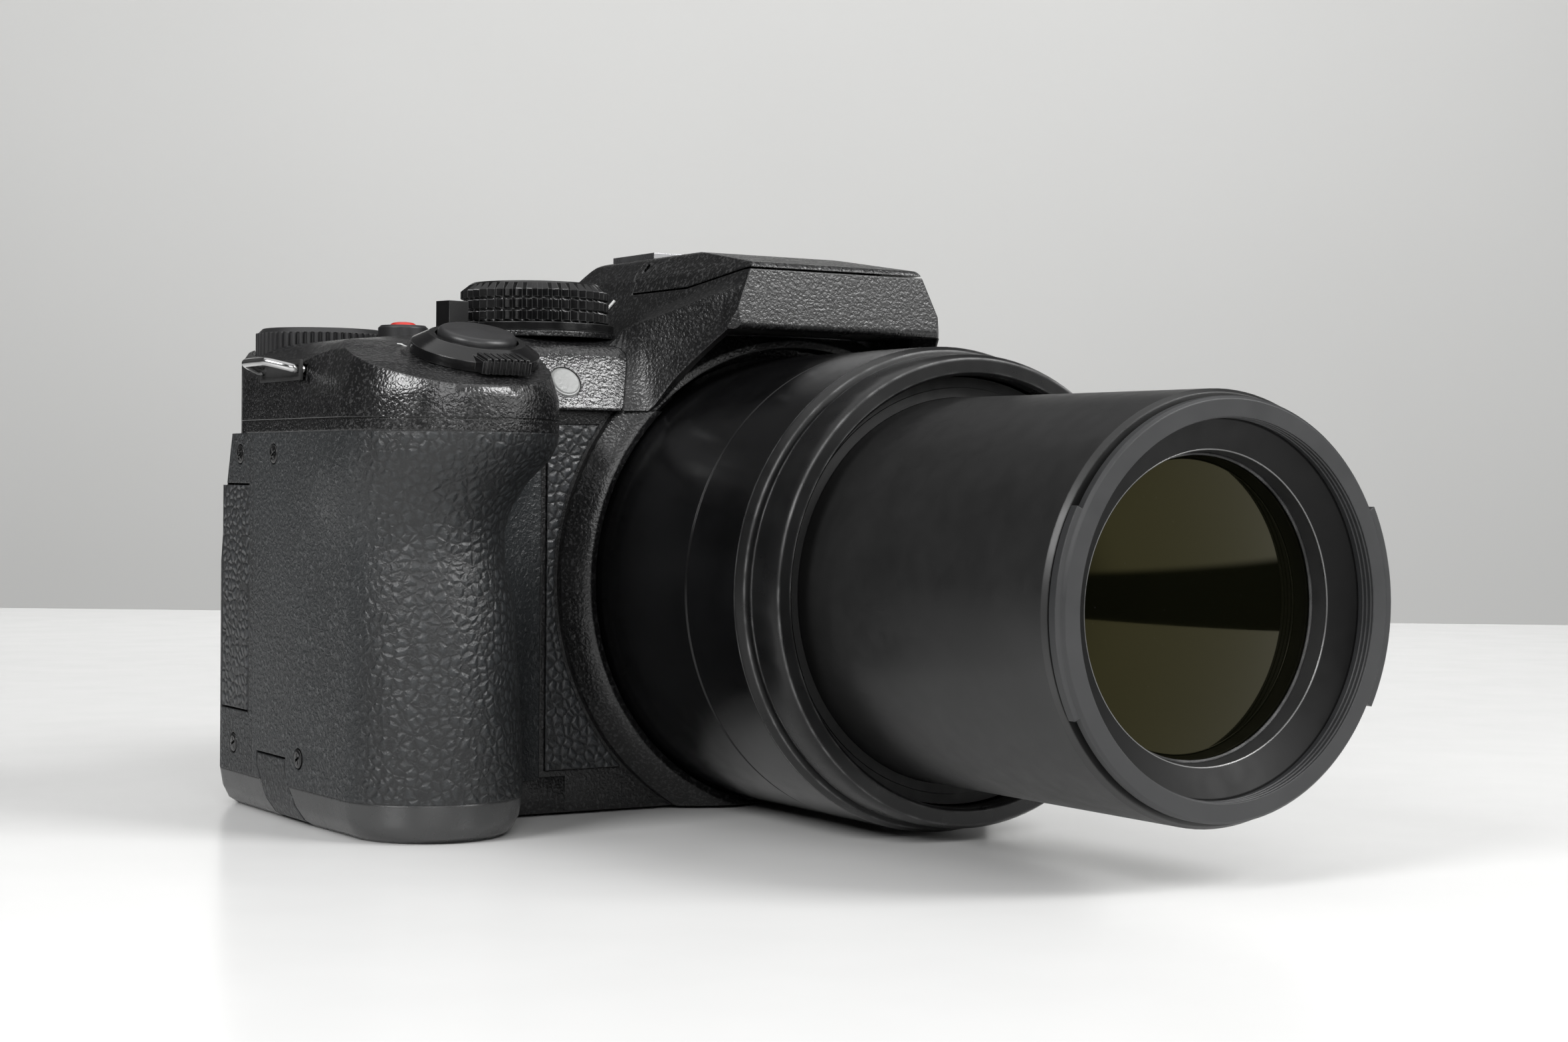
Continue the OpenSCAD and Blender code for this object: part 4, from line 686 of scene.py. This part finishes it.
def addModeDial(look):
    low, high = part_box("mode_dial")
    centre = (low + high) / 2
    radius = (high.x - low.x) / 2 - look["clear"]
    rows = look["rows"]
    deselectAll()
    bpy.ops.mesh.primitive_circle_add(vertices=look["teeth"] * 2, radius=radius - rows[0][1],
                                      fill_type="NGON", location=(0, 0, 0))
    dial = takeNew("modeDial")
    setMode("EDIT")
    for (height, inset, _), (nextHeight, nextInset, _) in zip(rows, rows[1:]):
        grow = (radius - nextInset) / (radius - inset)
        extrude((0, 0, nextHeight - height))
        resize((grow, grow, 1), (0, 0, 0))
    slope, recess = look["recess"]
    bpy.ops.mesh.inset(thickness=look["rim"], depth=0)
    bpy.ops.mesh.inset(thickness=slope, depth=-recess)
    step = math.pi / look["teeth"]
    toothed = [height for height, _, teeth in rows if teeth]

    def between(place):
        column = round(math.atan2(place.y, place.x) / step)
        return column % 2 == 1 and any(abs(place.z - height) < look["rowMatch"] for height in toothed)

    pickVerts(dial, between)
    shrink = (radius - look["toothDepth"]) / radius
    resize((shrink, shrink, 1), (0, 0, 0))
    setMode("OBJECT")
    turnNormalsOut(dial)
    dial.location = (centre.x, centre.y, low.z)
    settle(dial, look["smooth"])
    bore = look["bore"]
    deselectAll()
    bpy.ops.mesh.primitive_cylinder_add(
        vertices=bore["sides"], radius=bore["radius"], depth=bore["depth"],
        location=(centre.x, centre.y, high.z - look["capRoom"] - bore["depth"] / 2))
    cutWith(dial, bpy.context.object)
    dress(dial, "dialBlack", "mode")
    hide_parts("mode_dial")
    return centre, high.z - recess


curveSteps = 3  # in the curves of a letter


def addWord(word, size, thick):  # flat print centred on the origin, made a mesh
    deselectAll()
    bpy.ops.object.text_add(location=(0, 0, 0))
    text = bpy.context.object
    text.data.body = word
    text.data.size = size
    text.data.extrude = thick
    text.data.align_x = "CENTER"
    text.data.align_y = "CENTER"
    text.data.resolution_u = curveSteps
    bpy.ops.object.convert(target="MESH")
    return bpy.context.object


# numbers on the dial, with a dot between each two
dialPrint = {
    "words": "12345678", "reach": 0.0087, "size": 0.0026, "thick": 0.00003, "dot": 0.0004,
    "dotSides": 16,
}


def addDialPrint(look, centre, top):
    marks = []
    count = len(look["words"])

    def around(angle):
        return centre.x + look["reach"] * math.sin(angle), centre.y - look["reach"] * math.cos(angle), top

    for i, word in enumerate(look["words"]):
        angle = 2 * math.pi * i / count
        mark = addWord(word, look["size"], look["thick"])
        mark.location = around(angle)
        mark.rotation_euler = (0, 0, angle)
        marks.append(mark)
        deselectAll()
        bpy.ops.mesh.primitive_cylinder_add(vertices=look["dotSides"], radius=look["dot"],
                                            depth=look["thick"] * 2, location=around(angle + math.pi / count))
        marks.append(bpy.context.object)
    piece = settle(joinPieces(marks, "dialPrint"))
    dress(piece, "whitePrint", "mode")


addDialPrint(dialPrint, *addModeDial(dialLook))
print("mode dial made")

# strap loops of bright wire, each in its dark slot
loopLook = {
    "path": [  # out from the flank, along it
        (-0.0012, -0.0072), (0.0004, -0.0072), (0.0014, -0.0071), (0.0042, -0.0045), (0.0043, -0.0036),
        (0.0043, 0.0036), (0.0042, 0.0045), (0.0014, 0.0071), (0.0004, 0.0072), (-0.0012, 0.0072),
    ],
    "wire": 0.00068,
    "wireSteps": 3,
    "order": 3,
    "pathSteps": 6,
    "rise": 0.3,
    "smooth": 40,
    "gripRoot": (-0.0701, -0.007, 0.0705),
    "flankRoot": (0.0617, -0.001, 0.0665),
    "slot": (0.0006, 0.0172, 0.0032),
    "slotRim": 0.0006,
    "slotStep": (0.00005, 0.0003),  # slope, depth
    "slotRound": 0.0002,
}


def addLoop(name, look, root, side):  # root on the flank, side is -1 or 1
    deselectAll()
    bpy.ops.curve.primitive_nurbs_path_add(location=(0, 0, 0))
    wire = bpy.context.object
    spline = wire.data.splines[0]
    spline.points.add(len(look["path"]) - len(spline.points))
    for point, (out, along) in zip(spline.points, look["path"]):
        point.co = (root.x + side * out, root.y + along, root.z + max(0, out) * look["rise"], 1)
    spline.order_u = look["order"]
    spline.use_endpoint_u = True
    spline.resolution_u = look["pathSteps"]
    wire.data.bevel_depth = look["wire"]
    wire.data.bevel_resolution = look["wireSteps"]
    wire.data.use_fill_caps = True
    bpy.ops.object.convert(target="MESH")
    loop = settle(takeNew(name), look["smooth"])
    turnNormalsOut(loop)
    return dress(loop, "chromeWire", "camera")


def addSlot(name, look, root, side):
    plate = addBlock(name, root, look["slot"])
    pickFaces(plate, lambda centre, normal: normal.x * side > squareOn)
    slope, deep = look["slotStep"]
    bpy.ops.mesh.inset(thickness=look["slotRim"], depth=0)
    bpy.ops.mesh.inset(thickness=slope, depth=-deep)
    setMode("OBJECT")
    roundEdges(plate, look["slotRound"])
    dress(settle(plate), "innerBlack", "camera")


gripRoot, flankRoot = Vector(loopLook["gripRoot"]), Vector(loopLook["flankRoot"])
gripLoop = addLoop("gripLoop", loopLook, gripRoot, -1)
addLoop("flankLoop", loopLook, flankRoot, 1)
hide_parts("strap_lugs")
addSlot("gripSlot", loopLook, gripRoot, -1)
addSlot("flankSlot", loopLook, flankRoot, 1)
print("strap loops made")

# cross-head screws, four on the grip's flank and four below
screwLook = {
    "head": 0.00145,
    "sides": 32,
    "deep": 0.0007,
    "crown": (0.0003, 0.0001),  # slope, height
    "cross": (0.0019, 0.00042, 0.0005),
    "turn": 0.4,
    "flankPlane": -0.06965,
    "flank": [(0.0112, 0.0576), (-0.0036, 0.0576), (0.0136, 0.0106), (-0.0147, 0.0106)],
    "basePlane": 0.00055,
    "base": [(-0.03, -0.012), (0.05, -0.012), (0.05, 0.016), (-0.03, 0.016)],
}


def addScrew(look):
    deselectAll()
    bpy.ops.mesh.primitive_cylinder_add(vertices=look["sides"], radius=look["head"], depth=look["deep"],
                                        location=(0, 0, 0))
    screw = takeNew("screwHead")
    pickFaces(screw, lambda centre, normal: normal.z > squareOn)
    slope, rise = look["crown"]
    bpy.ops.mesh.inset(thickness=slope, depth=rise)
    setMode("OBJECT")
    long, wide, deep = look["cross"]
    for turn in (look["turn"], look["turn"] + math.pi / 2):
        deselectAll()
        bpy.ops.mesh.primitive_cube_add(size=1, location=(0, 0, look["deep"] / 2), rotation=(0, 0, turn))
        cutter = bpy.context.object
        cutter.scale = (long, wide, deep * 2)
        cutWith(screw, cutter)
    return screw


def addScrews(look):
    screw = addScrew(look)
    places = [((look["flankPlane"], y, z), (0, -math.pi / 2, 0)) for y, z in look["flank"]]
    places += [((x, y, look["basePlane"]), (math.pi, 0, 0)) for x, y in look["base"]]
    copies = []
    for place, turn in places:
        copy = screw.copy()
        copy.data = screw.data.copy()
        scene.collection.objects.link(copy)
        copy.location, copy.rotation_euler = place, turn
        activate(copy)
        bpy.ops.object.transform_apply(location=True, rotation=True)
        copies.append(copy)
    bpy.data.objects.remove(screw)
    screws = settle(joinPieces(copies, "caseScrews"))
    dress(screws, "dialBlack", "camera")
    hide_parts("case_screws")


addScrews(screwLook)
print("screws made")

# filter thread, bright lip and cell edge round the front glass
frontLook = {
    "centre": (0.014, 0.0377),
    "sides": (128, 8),
    "smooth": 60,
    "thread": {"radius": 0.02562, "wire": 0.0002, "places": [-0.1326, -0.13185, -0.1311]},
    "lip": {"radius": 0.02135, "wire": 0.00016, "places": [-0.12845]},
    "cell": {"radius": 0.02078, "wire": 0.00024, "places": [-0.1259]},
}


def addRings(name, look, finish):
    x, z = frontLook["centre"]
    turn = (math.pi / 2, 0, 0)
    rings = [addWireRing(look, frontLook["sides"], (x, y, z), turn) for y in look["places"]]
    piece = settle(joinPieces(rings, name), frontLook["smooth"])
    dress(piece, finish, "zoom")


addRings("filterThread", frontLook["thread"], "ringSlate")
addRings("brightLip", frontLook["lip"], "ringBright")
addRings("cellEdge", frontLook["cell"], "ringMetal")

# front glass: a shallow cap of a large ball on a stepped rim that reaches back into the cell
glassLook = {
    "apex": -0.12794, "curve": 0.0943, "sides": (96, 300), "radius": 0.02086,
    "rim": [(-0.1226, 0.02033), (-0.1182, 0.02033)], "backMatch": 0.00001,
}


def addFrontGlass(look):
    x, z = frontLook["centre"]
    around, along = look["sides"]
    middle = look["apex"] + look["curve"]
    edge = middle - math.sqrt(look["curve"] ** 2 - look["radius"] ** 2)
    deselectAll()
    bpy.ops.mesh.primitive_uv_sphere_add(segments=around, ring_count=along, radius=look["curve"],
                                         location=(x, middle, z), rotation=(math.pi / 2, 0, 0))
    glass = takeNew("frontElement")
    bpy.ops.object.transform_apply(location=True, rotation=True)
    setMode("EDIT")
    bpy.ops.mesh.select_all(action="SELECT")
    bpy.ops.mesh.bisect(plane_co=(x, edge, z), plane_no=(0, 1, 0), use_fill=True, clear_outer=True)
    wide, far = look["radius"], edge

    def atBack(centre, normal):
        return centre.y > far - look["backMatch"] and abs(normal.y) > squareOn

    for place, radius in look["rim"]:
        pickFaces(glass, atBack)
        extrude((0, place - far, 0))
        resize((radius / wide, 1, radius / wide), (x, place, z))
        wide, far = radius, place
    setMode("OBJECT")
    turnNormalsOut(glass)
    dress(settle(glass), "frontGlass", "zoom")
    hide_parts("front_lens")


addFrontGlass(glassLook)
print("lens front made")

# inside of the name ring, and the covering on the rear cover's flank
nameBack = -0.1285
flankSide = {"facing": -0.7, "beyond": -0.0685}


def secondFinish(name, finish, test):  # another finish on the faces that pass
    piece = bpy.data.objects[name]
    piece.data.materials.append(finishes[finish])
    for face in piece.data.polygons:
        if test(face.center, face.normal):
            face.material_index = 1


secondFinish("nameRing", "innerBlack", lambda centre, normal: centre.y > nameBack)
secondFinish("rearShell", "flankLeather",
             lambda centre, normal: normal.x < flankSide["facing"] and centre.x < flankSide["beyond"])

# sill that closes the foot between grip and front cover
sillLook = {"low": (-0.0385, -0.02052, 0.0005), "high": (-0.0268, -0.0184, 0.0064), "round": 0.0001}


def addSill(look):
    low, high = Vector(look["low"]), Vector(look["high"])
    sill = addBlock("frontSill", (low + high) / 2, high - low)
    roundEdges(sill, look["round"])
    dress(settle(sill), "roofPaint", "camera")


addSill(sillLook)

# fillers beside the eyecup, flush with the deck, in the slits of the roof's flanks
fillerLook = {
    "reach": (0.0209, 0.02445),  # from the lens axis
    "depth": (0.014, 0.0232),
    "height": (0.0635, 0.0717),
    "top": 0.0754,
    "lean": -0.0057,
    "cornerMatch": 0.0001,
    "round": 0.0002,
}


def addFiller(name, look, side):
    near, far = look["reach"]
    low, high = look["height"]
    front, rear = look["depth"]
    match = look["cornerMatch"]
    middle = (frontLook["centre"][0] + side * (near + far) / 2, (front + rear) / 2, (low + high) / 2)
    block = addBlock(name, middle, (far - near, rear - front, high - low))
    pickFaces(block, lambda centre, normal: normal.z > squareOn)
    extrude((0, 0, look["top"] - high))
    pickVerts(block, lambda place: place.z > look["top"] - match and place.y > rear - match)
    bpy.ops.transform.translate(value=(0, look["lean"], 0))
    setMode("OBJECT")
    roundEdges(block, look["round"])
    dress(settle(block), "hammeredPaint", "camera")


for name, side in (("fillerGrip", -1), ("fillerFlank", 1)):
    addFiller(name, fillerLook, side)
print("sill and fillers made")

# white pointer on the hump beside the dial
markLook = {
    "corners": [(-0.00481, 0.00841, 0.08363), (-0.00493, 0.00769, 0.08336), (-0.0041, 0.00663, 0.08531),
                (-0.00422, 0.00587, 0.08503)],
    "thick": 0.0002,
}


def addPointer(look):
    deselectAll()
    bpy.ops.mesh.primitive_plane_add(location=(0, 0, 0))
    mark = takeNew("dialPointer")
    for vert, corner in zip(mark.data.vertices, look["corners"]):
        vert.co = corner
    modifier = mark.modifiers.new("thick", "SOLIDIFY")
    modifier.thickness = look["thick"]
    modifier.offset = 0
    applyAll(mark)
    turnNormalsOut(mark)
    dress(settle(mark), "whitePrint", "camera")


addPointer(markLook)

# red dot on the record key, a low dome
dotLook = {
    "radius": 0.0021,
    "sides": 32,
    "sunk": 0.00003,
    "steps": [(0.0003, 0.94), (0.0002, 0.82), (0.0001, 0.6)],  # rise, and how much narrower
    "smooth": 50,
}


def addDot(look):
    low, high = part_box("record_button")
    centre = ((low.x + high.x) / 2, (low.y + high.y) / 2, high.z - look["sunk"])
    deselectAll()
    bpy.ops.mesh.primitive_circle_add(vertices=look["sides"], radius=look["radius"], fill_type="NGON",
                                      location=centre)
    dot = takeNew("recordDot")
    setMode("EDIT")
    for rise, narrow in look["steps"]:
        extrude((0, 0, rise))
        resize((narrow, narrow, 1), centre)
    setMode("OBJECT")
    turnNormalsOut(dot)
    dress(settle(dot, look["smooth"]), "redPrint", "record")


addDot(dotLook)

# zoom letters on the deck beside the lever
letterLook = {
    "places": {"T": (-0.0566, -0.0232, 0.07445), "W": (-0.0387, -0.0232, 0.07445)},
    "size": 0.0021,
    "thick": 0.00006,
    "turn": (0.29, 0, 0.5),
}


def addLetters(look):
    letters = []
    for word, place in look["places"].items():
        letter = addWord(word, look["size"], look["thick"])
        letter.location = place
        letter.rotation_euler = look["turn"]
        letters.append(letter)
    dress(settle(joinPieces(letters, "zoomLetters")), "whitePrint", "camera")


addLetters(letterLook)

# pale rim round the focus lamp
lampLook = {
    "centre": (-0.0273, -0.02053, 0.06964), "facing": (0, -0.88, 0.48), "radius": 0.00215,
    "wire": 0.00032, "flatten": 0.5, "sides": (64, 10), "smooth": 60,
}


def addLampRim(look):
    turn = Vector(look["facing"]).to_track_quat("Z", "Y").to_euler()
    addWireRing(look, look["sides"], look["centre"], turn)
    rim = takeNew("lampRim")
    rim.scale = (1, 1, look["flatten"])
    dress(settle(rim, look["smooth"]), "lampRim", "camera")


addLampRim(lampLook)
print("marks and lamp made")

# contacts in the hot shoe: x, y and radius of each
shoeLook = {
    "floor": 0.0914,
    "big": (0.014, 0.0135, 0.0012),
    "small": [(0.0098, 0.0115, 0.0006), (0.0182, 0.0115, 0.0006), (0.0098, 0.0172, 0.0006),
              (0.0182, 0.0172, 0.0006)],
    "thick": 0.0004,
    "sides": 24,
    "round": 0.0001,
    "smooth": 40,
}


def addContacts(look):
    discs = []
    for x, y, radius in [look["big"], *look["small"]]:
        deselectAll()
        bpy.ops.mesh.primitive_cylinder_add(vertices=look["sides"], radius=radius, depth=look["thick"],
                                            location=(x, y, look["floor"]))
        disc = takeNew("contact")
        pickFaces(disc, lambda centre, normal: normal.z > squareOn)
        bpy.ops.mesh.bevel(offset=look["round"], segments=2)
        setMode("OBJECT")
        discs.append(disc)
    contacts = settle(joinPieces(discs, "shoeContacts"), look["smooth"])
    dress(contacts, "goldContact", "camera")


addContacts(shoeLook)

# thread turns in the tripod bush
bushLook = {
    "radius": 0.00256, "wire": 0.00017, "first": 0.0009, "pitch": 0.00127, "turns": 5, "sides": (48, 8),
    "smooth": 60,
}


def addBushThread(look):
    heights = [look["first"] + i * look["pitch"] for i in range(look["turns"])]
    turns = [addWireRing(look, look["sides"], (0, 0, height)) for height in heights]
    thread = settle(joinPieces(turns, "bushThread"), look["smooth"])
    dress(thread, "shoeSteel", "camera")


addBushThread(bushLook)

# plain signs on the rear keys; bars are across, up, width, height, and arrows across, up, turn, size
signThick = 0.00008
signLook = {
    "playSign": {"body": "play", "place": (-0.03, 0.0451), "top": 0.0251, "arrows": [(0, 0, 0, 0.0013)]},
    "deleteSign": {
        "body": "delete", "place": (-0.032, 0.0134), "top": 0.0251,
        "bars": [(0, 0, 0.0016, 0.002), (0, 0.0014, 0.0022, 0.0004)],
    },
    "dispSign": {
        "body": "disp", "place": (-0.048, 0.0134), "top": 0.0251,
        "bars": [(0, 0.0008, 0.0026, 0.0004), (0, -0.0008, 0.0026, 0.0004)],
    },
    "menuSign": {
        "body": "menu", "place": (-0.04, 0.028), "top": 0.0265,
        "bars": [(0, 0.0012, 0.003, 0.0004), (0, 0, 0.003, 0.0004), (0, -0.0012, 0.003, 0.0004)],
    },
    "padSigns": {
        "body": "pad", "place": (-0.04, 0.028), "top": 0.0261,
        "arrows": [(0.0079, 0, 0, 0.0008), (-0.0079, 0, math.pi, 0.0008), (0, 0.0079, math.pi / 2, 0.0008),
                   (0, -0.0079, -math.pi / 2, 0.0008)],
    },
}


def addSign(name, look):
    x, z = look["place"]
    parts = []
    for across, up, wide, tall in look.get("bars", []):
        deselectAll()
        bpy.ops.mesh.primitive_cube_add(size=1, location=(x - across, look["top"], z + up))
        bpy.context.object.scale = (wide, signThick, tall)
        parts.append(bpy.context.object)
    for across, up, turn, size in look.get("arrows", []):
        deselectAll()
        bpy.ops.mesh.primitive_cylinder_add(vertices=3, radius=size, depth=signThick,
                                            location=(x - across, look["top"], z + up),
                                            rotation=(-math.pi / 2, -turn - math.pi / 2, 0))
        parts.append(bpy.context.object)
    for part in parts:
        activate(part)
        bpy.ops.object.transform_apply(location=True, rotation=True, scale=True)
    dress(settle(joinPieces(parts, name)), "whitePrint", look["body"])


for name, look in signLook.items():
    addSign(name, look)
print("contacts, thread and signs made")

# table and wall
stageLook = {
    "tableEdge": ((0.1313, 0.6059), (0.5723, 0.318)),  # far edge of the table, as the photograph shows it
    "tableDepth": 1.6,
    "tableEnds": (-1.7, 0.43),  # along that edge
    "wallMiddle": (0.589, 0.905),
    "wallSize": (1.12, 0.84),
    "toneSize": 0.35,
    "toneSpan": (0.35, 0.65),
    "roughSize": 0.02,
    "roughSpan": (0.3, 0.7),
    "tableTop": {"tints": ((0.815, 0.815, 0.81), (0.825, 0.825, 0.82)), "rough": (0.22, 0.24), "spec": 0.5},
    "wallPaint": {"tints": ((0.63, 0.63, 0.62), (0.65, 0.65, 0.64)), "rough": (0.8, 0.9), "spec": 0.2},
}


def makeStageFinish(name, look):
    surface = look[name]
    finish, tree, shader, place = startFinish(name)
    tone = addRange(tree, addNoise(tree, place, look["toneSize"]), *look["toneSpan"], 0, 1)
    tree.links.new(addMix(tree, tone, *surface["tints"]), shader.inputs["Base Color"])
    rough = addRange(tree, addNoise(tree, place, look["roughSize"]), *look["roughSpan"], *surface["rough"])
    tree.links.new(rough, shader.inputs["Roughness"])
    shader.inputs["Specular IOR Level"].default_value = surface["spec"]
    return finish


def addStage(look):
    first, second = (Vector((*point, 0)) for point in look["tableEdge"])
    along = (second - first).normalized()
    back = Vector((-along.y, along.x, 0))
    turn = math.atan2(along.y, along.x)
    deselectAll()
    left, right = look["tableEnds"]
    middle = first + along * ((left + right) / 2 - first.dot(along)) - back * look["tableDepth"] / 2
    bpy.ops.mesh.primitive_plane_add(size=1, location=middle, rotation=(0, 0, turn))
    table = takeNew("table")
    table.scale = (right - left, look["tableDepth"], 1)
    table.data.materials.append(makeStageFinish("tableTop", look))
    deselectAll()
    bpy.ops.mesh.primitive_plane_add(size=1, location=(*look["wallMiddle"], 0),
                                     rotation=(math.pi / 2, 0, turn))
    wall = takeNew("wall")
    wall.scale = (*look["wallSize"], 1)
    wall.data.materials.append(makeStageFinish("wallPaint", look))
    for item in (table, wall):
        settle(item)


addStage(stageLook)

# studio lamps
lamps = {
    "keyLeft": {"place": (-1.03, -0.39, 0.72), "target": (0, -0.02, 0.05), "size": (0.5, 0.5), "power": 11.0},
    "keyRight": {"place": (0.6, -0.8, 0.84), "target": (0, -0.05, 0.05), "size": (0.55, 0.55), "power": 13.0},
    "frontFill": {"place": (-0.37, -1.02, 0.56), "target": (0, -0.05, 0.05), "size": (0.6, 0.6), "power": 4.0},
    "overhead": {"place": (-0.05, 0.1, 1.3), "target": (0, 0, 0), "size": (1.8, 1.4), "power": 8.0},
    "wallWash": {"place": (0.17, 0.38, 0.47), "target": (0.45, 0.95, 0.06), "size": (0.8, 0.2), "power": 1.3},
}


def addLamp(name, look):
    data = bpy.data.lights.new(name, "AREA")
    data.shape = "RECTANGLE"
    data.size, data.size_y = look["size"]
    data.energy = look["power"]
    lamp = bpy.data.objects.new(name, data)
    place = Vector(look["place"])
    aim = (Vector(look["target"]) - place).to_track_quat("-Z", "Y")
    lamp.matrix_world = Matrix.Translation(place) @ aim.to_matrix().to_4x4()
    scene.collection.objects.link(lamp)


for name, look in lamps.items():
    addLamp(name, look)

# room: almost black below eye level, dim above, with a bright patch in front to the right
roomLook = {
    "low": (0.008, 0.008, 0.008),
    "high": (0.09, 0.09, 0.09),
    "riseSpan": (0.045, 0.07),
    "bright": (1.45, 1.45, 1.43),
    "toward": (0.66, -0.7, 0.26),
    "patchSpan": (0.8, 0.93),
    "backdrop": (0.56, 0.56, 0.555),
}


def addRoom(look):
    world = bpy.data.worlds.new("room")
    world.use_nodes = True
    tree = world.node_tree
    direction = tree.nodes.new("ShaderNodeTexCoord").outputs["Generated"]
    facing = tree.nodes.new("ShaderNodeVectorMath")
    facing.operation = "DOT_PRODUCT"
    facing.inputs[1].default_value = look["toward"]
    tree.links.new(direction, facing.inputs[0])
    patch = addRange(tree, facing.outputs["Value"], *look["patchSpan"], 0, 1, True)
    above = addMix(tree, patch, look["high"], look["bright"])
    rise = addRange(tree, addSplit(tree, direction)["Z"], *look["riseSpan"], 0, 1, True)
    room = addMix(tree, rise, look["low"], above)
    seen = tree.nodes.new("ShaderNodeLightPath").outputs["Is Camera Ray"]
    tree.links.new(addMix(tree, seen, room, look["backdrop"]), tree.nodes["Background"].inputs["Color"])
    scene.world = world


addRoom(roomLook)
scene.view_settings.view_transform = "Standard"
print("stage and light set")

# finishes of the CAD nodes that no piece replaces; any other node takes the keys' finish
nodeFinish = {
    "hammeredPaint": ["mode_dial_base"],
    "panelLeather": ["terminal_door"],
    "baseSatin": ["battery_door", "battery_latch", "mic_cover"],
    "barrelGloss": ["side_lever", "focus_switch"],
    "dialBlack": ["power_lever", "diopter_dial"],
    "frontGlass": ["inner_lens", "rear_lens"],
    "viewGlass": ["eyepiece_lens"],
    "screenGloss": ["screen_glass"],
    "lampFrost": ["af_lamp", "flash_window"],
    "shoeSteel": ["hot_shoe", "tripod_bush", "flash_pin"],
    "innerMetal": ["chassis", "zoom_motor"],
    "innerBlack": ["guide_tube", "cam_ring", "battery_box"],
    "cellWrap": ["battery"],
    "cardBlue": ["memory_card"],
    "boardGreen": ["main_board", "sensor_board"],
    "softRubber": ["eyecup"],
}
finishOf = {node: finish for finish, group in nodeFinish.items() for node in group}
for name, item in nodes.items():
    item.data.materials.clear()
    item.data.materials.append(finishes[finishOf.get(name, "keySatin")])
print("finishes on", len(nodes), "nodes")
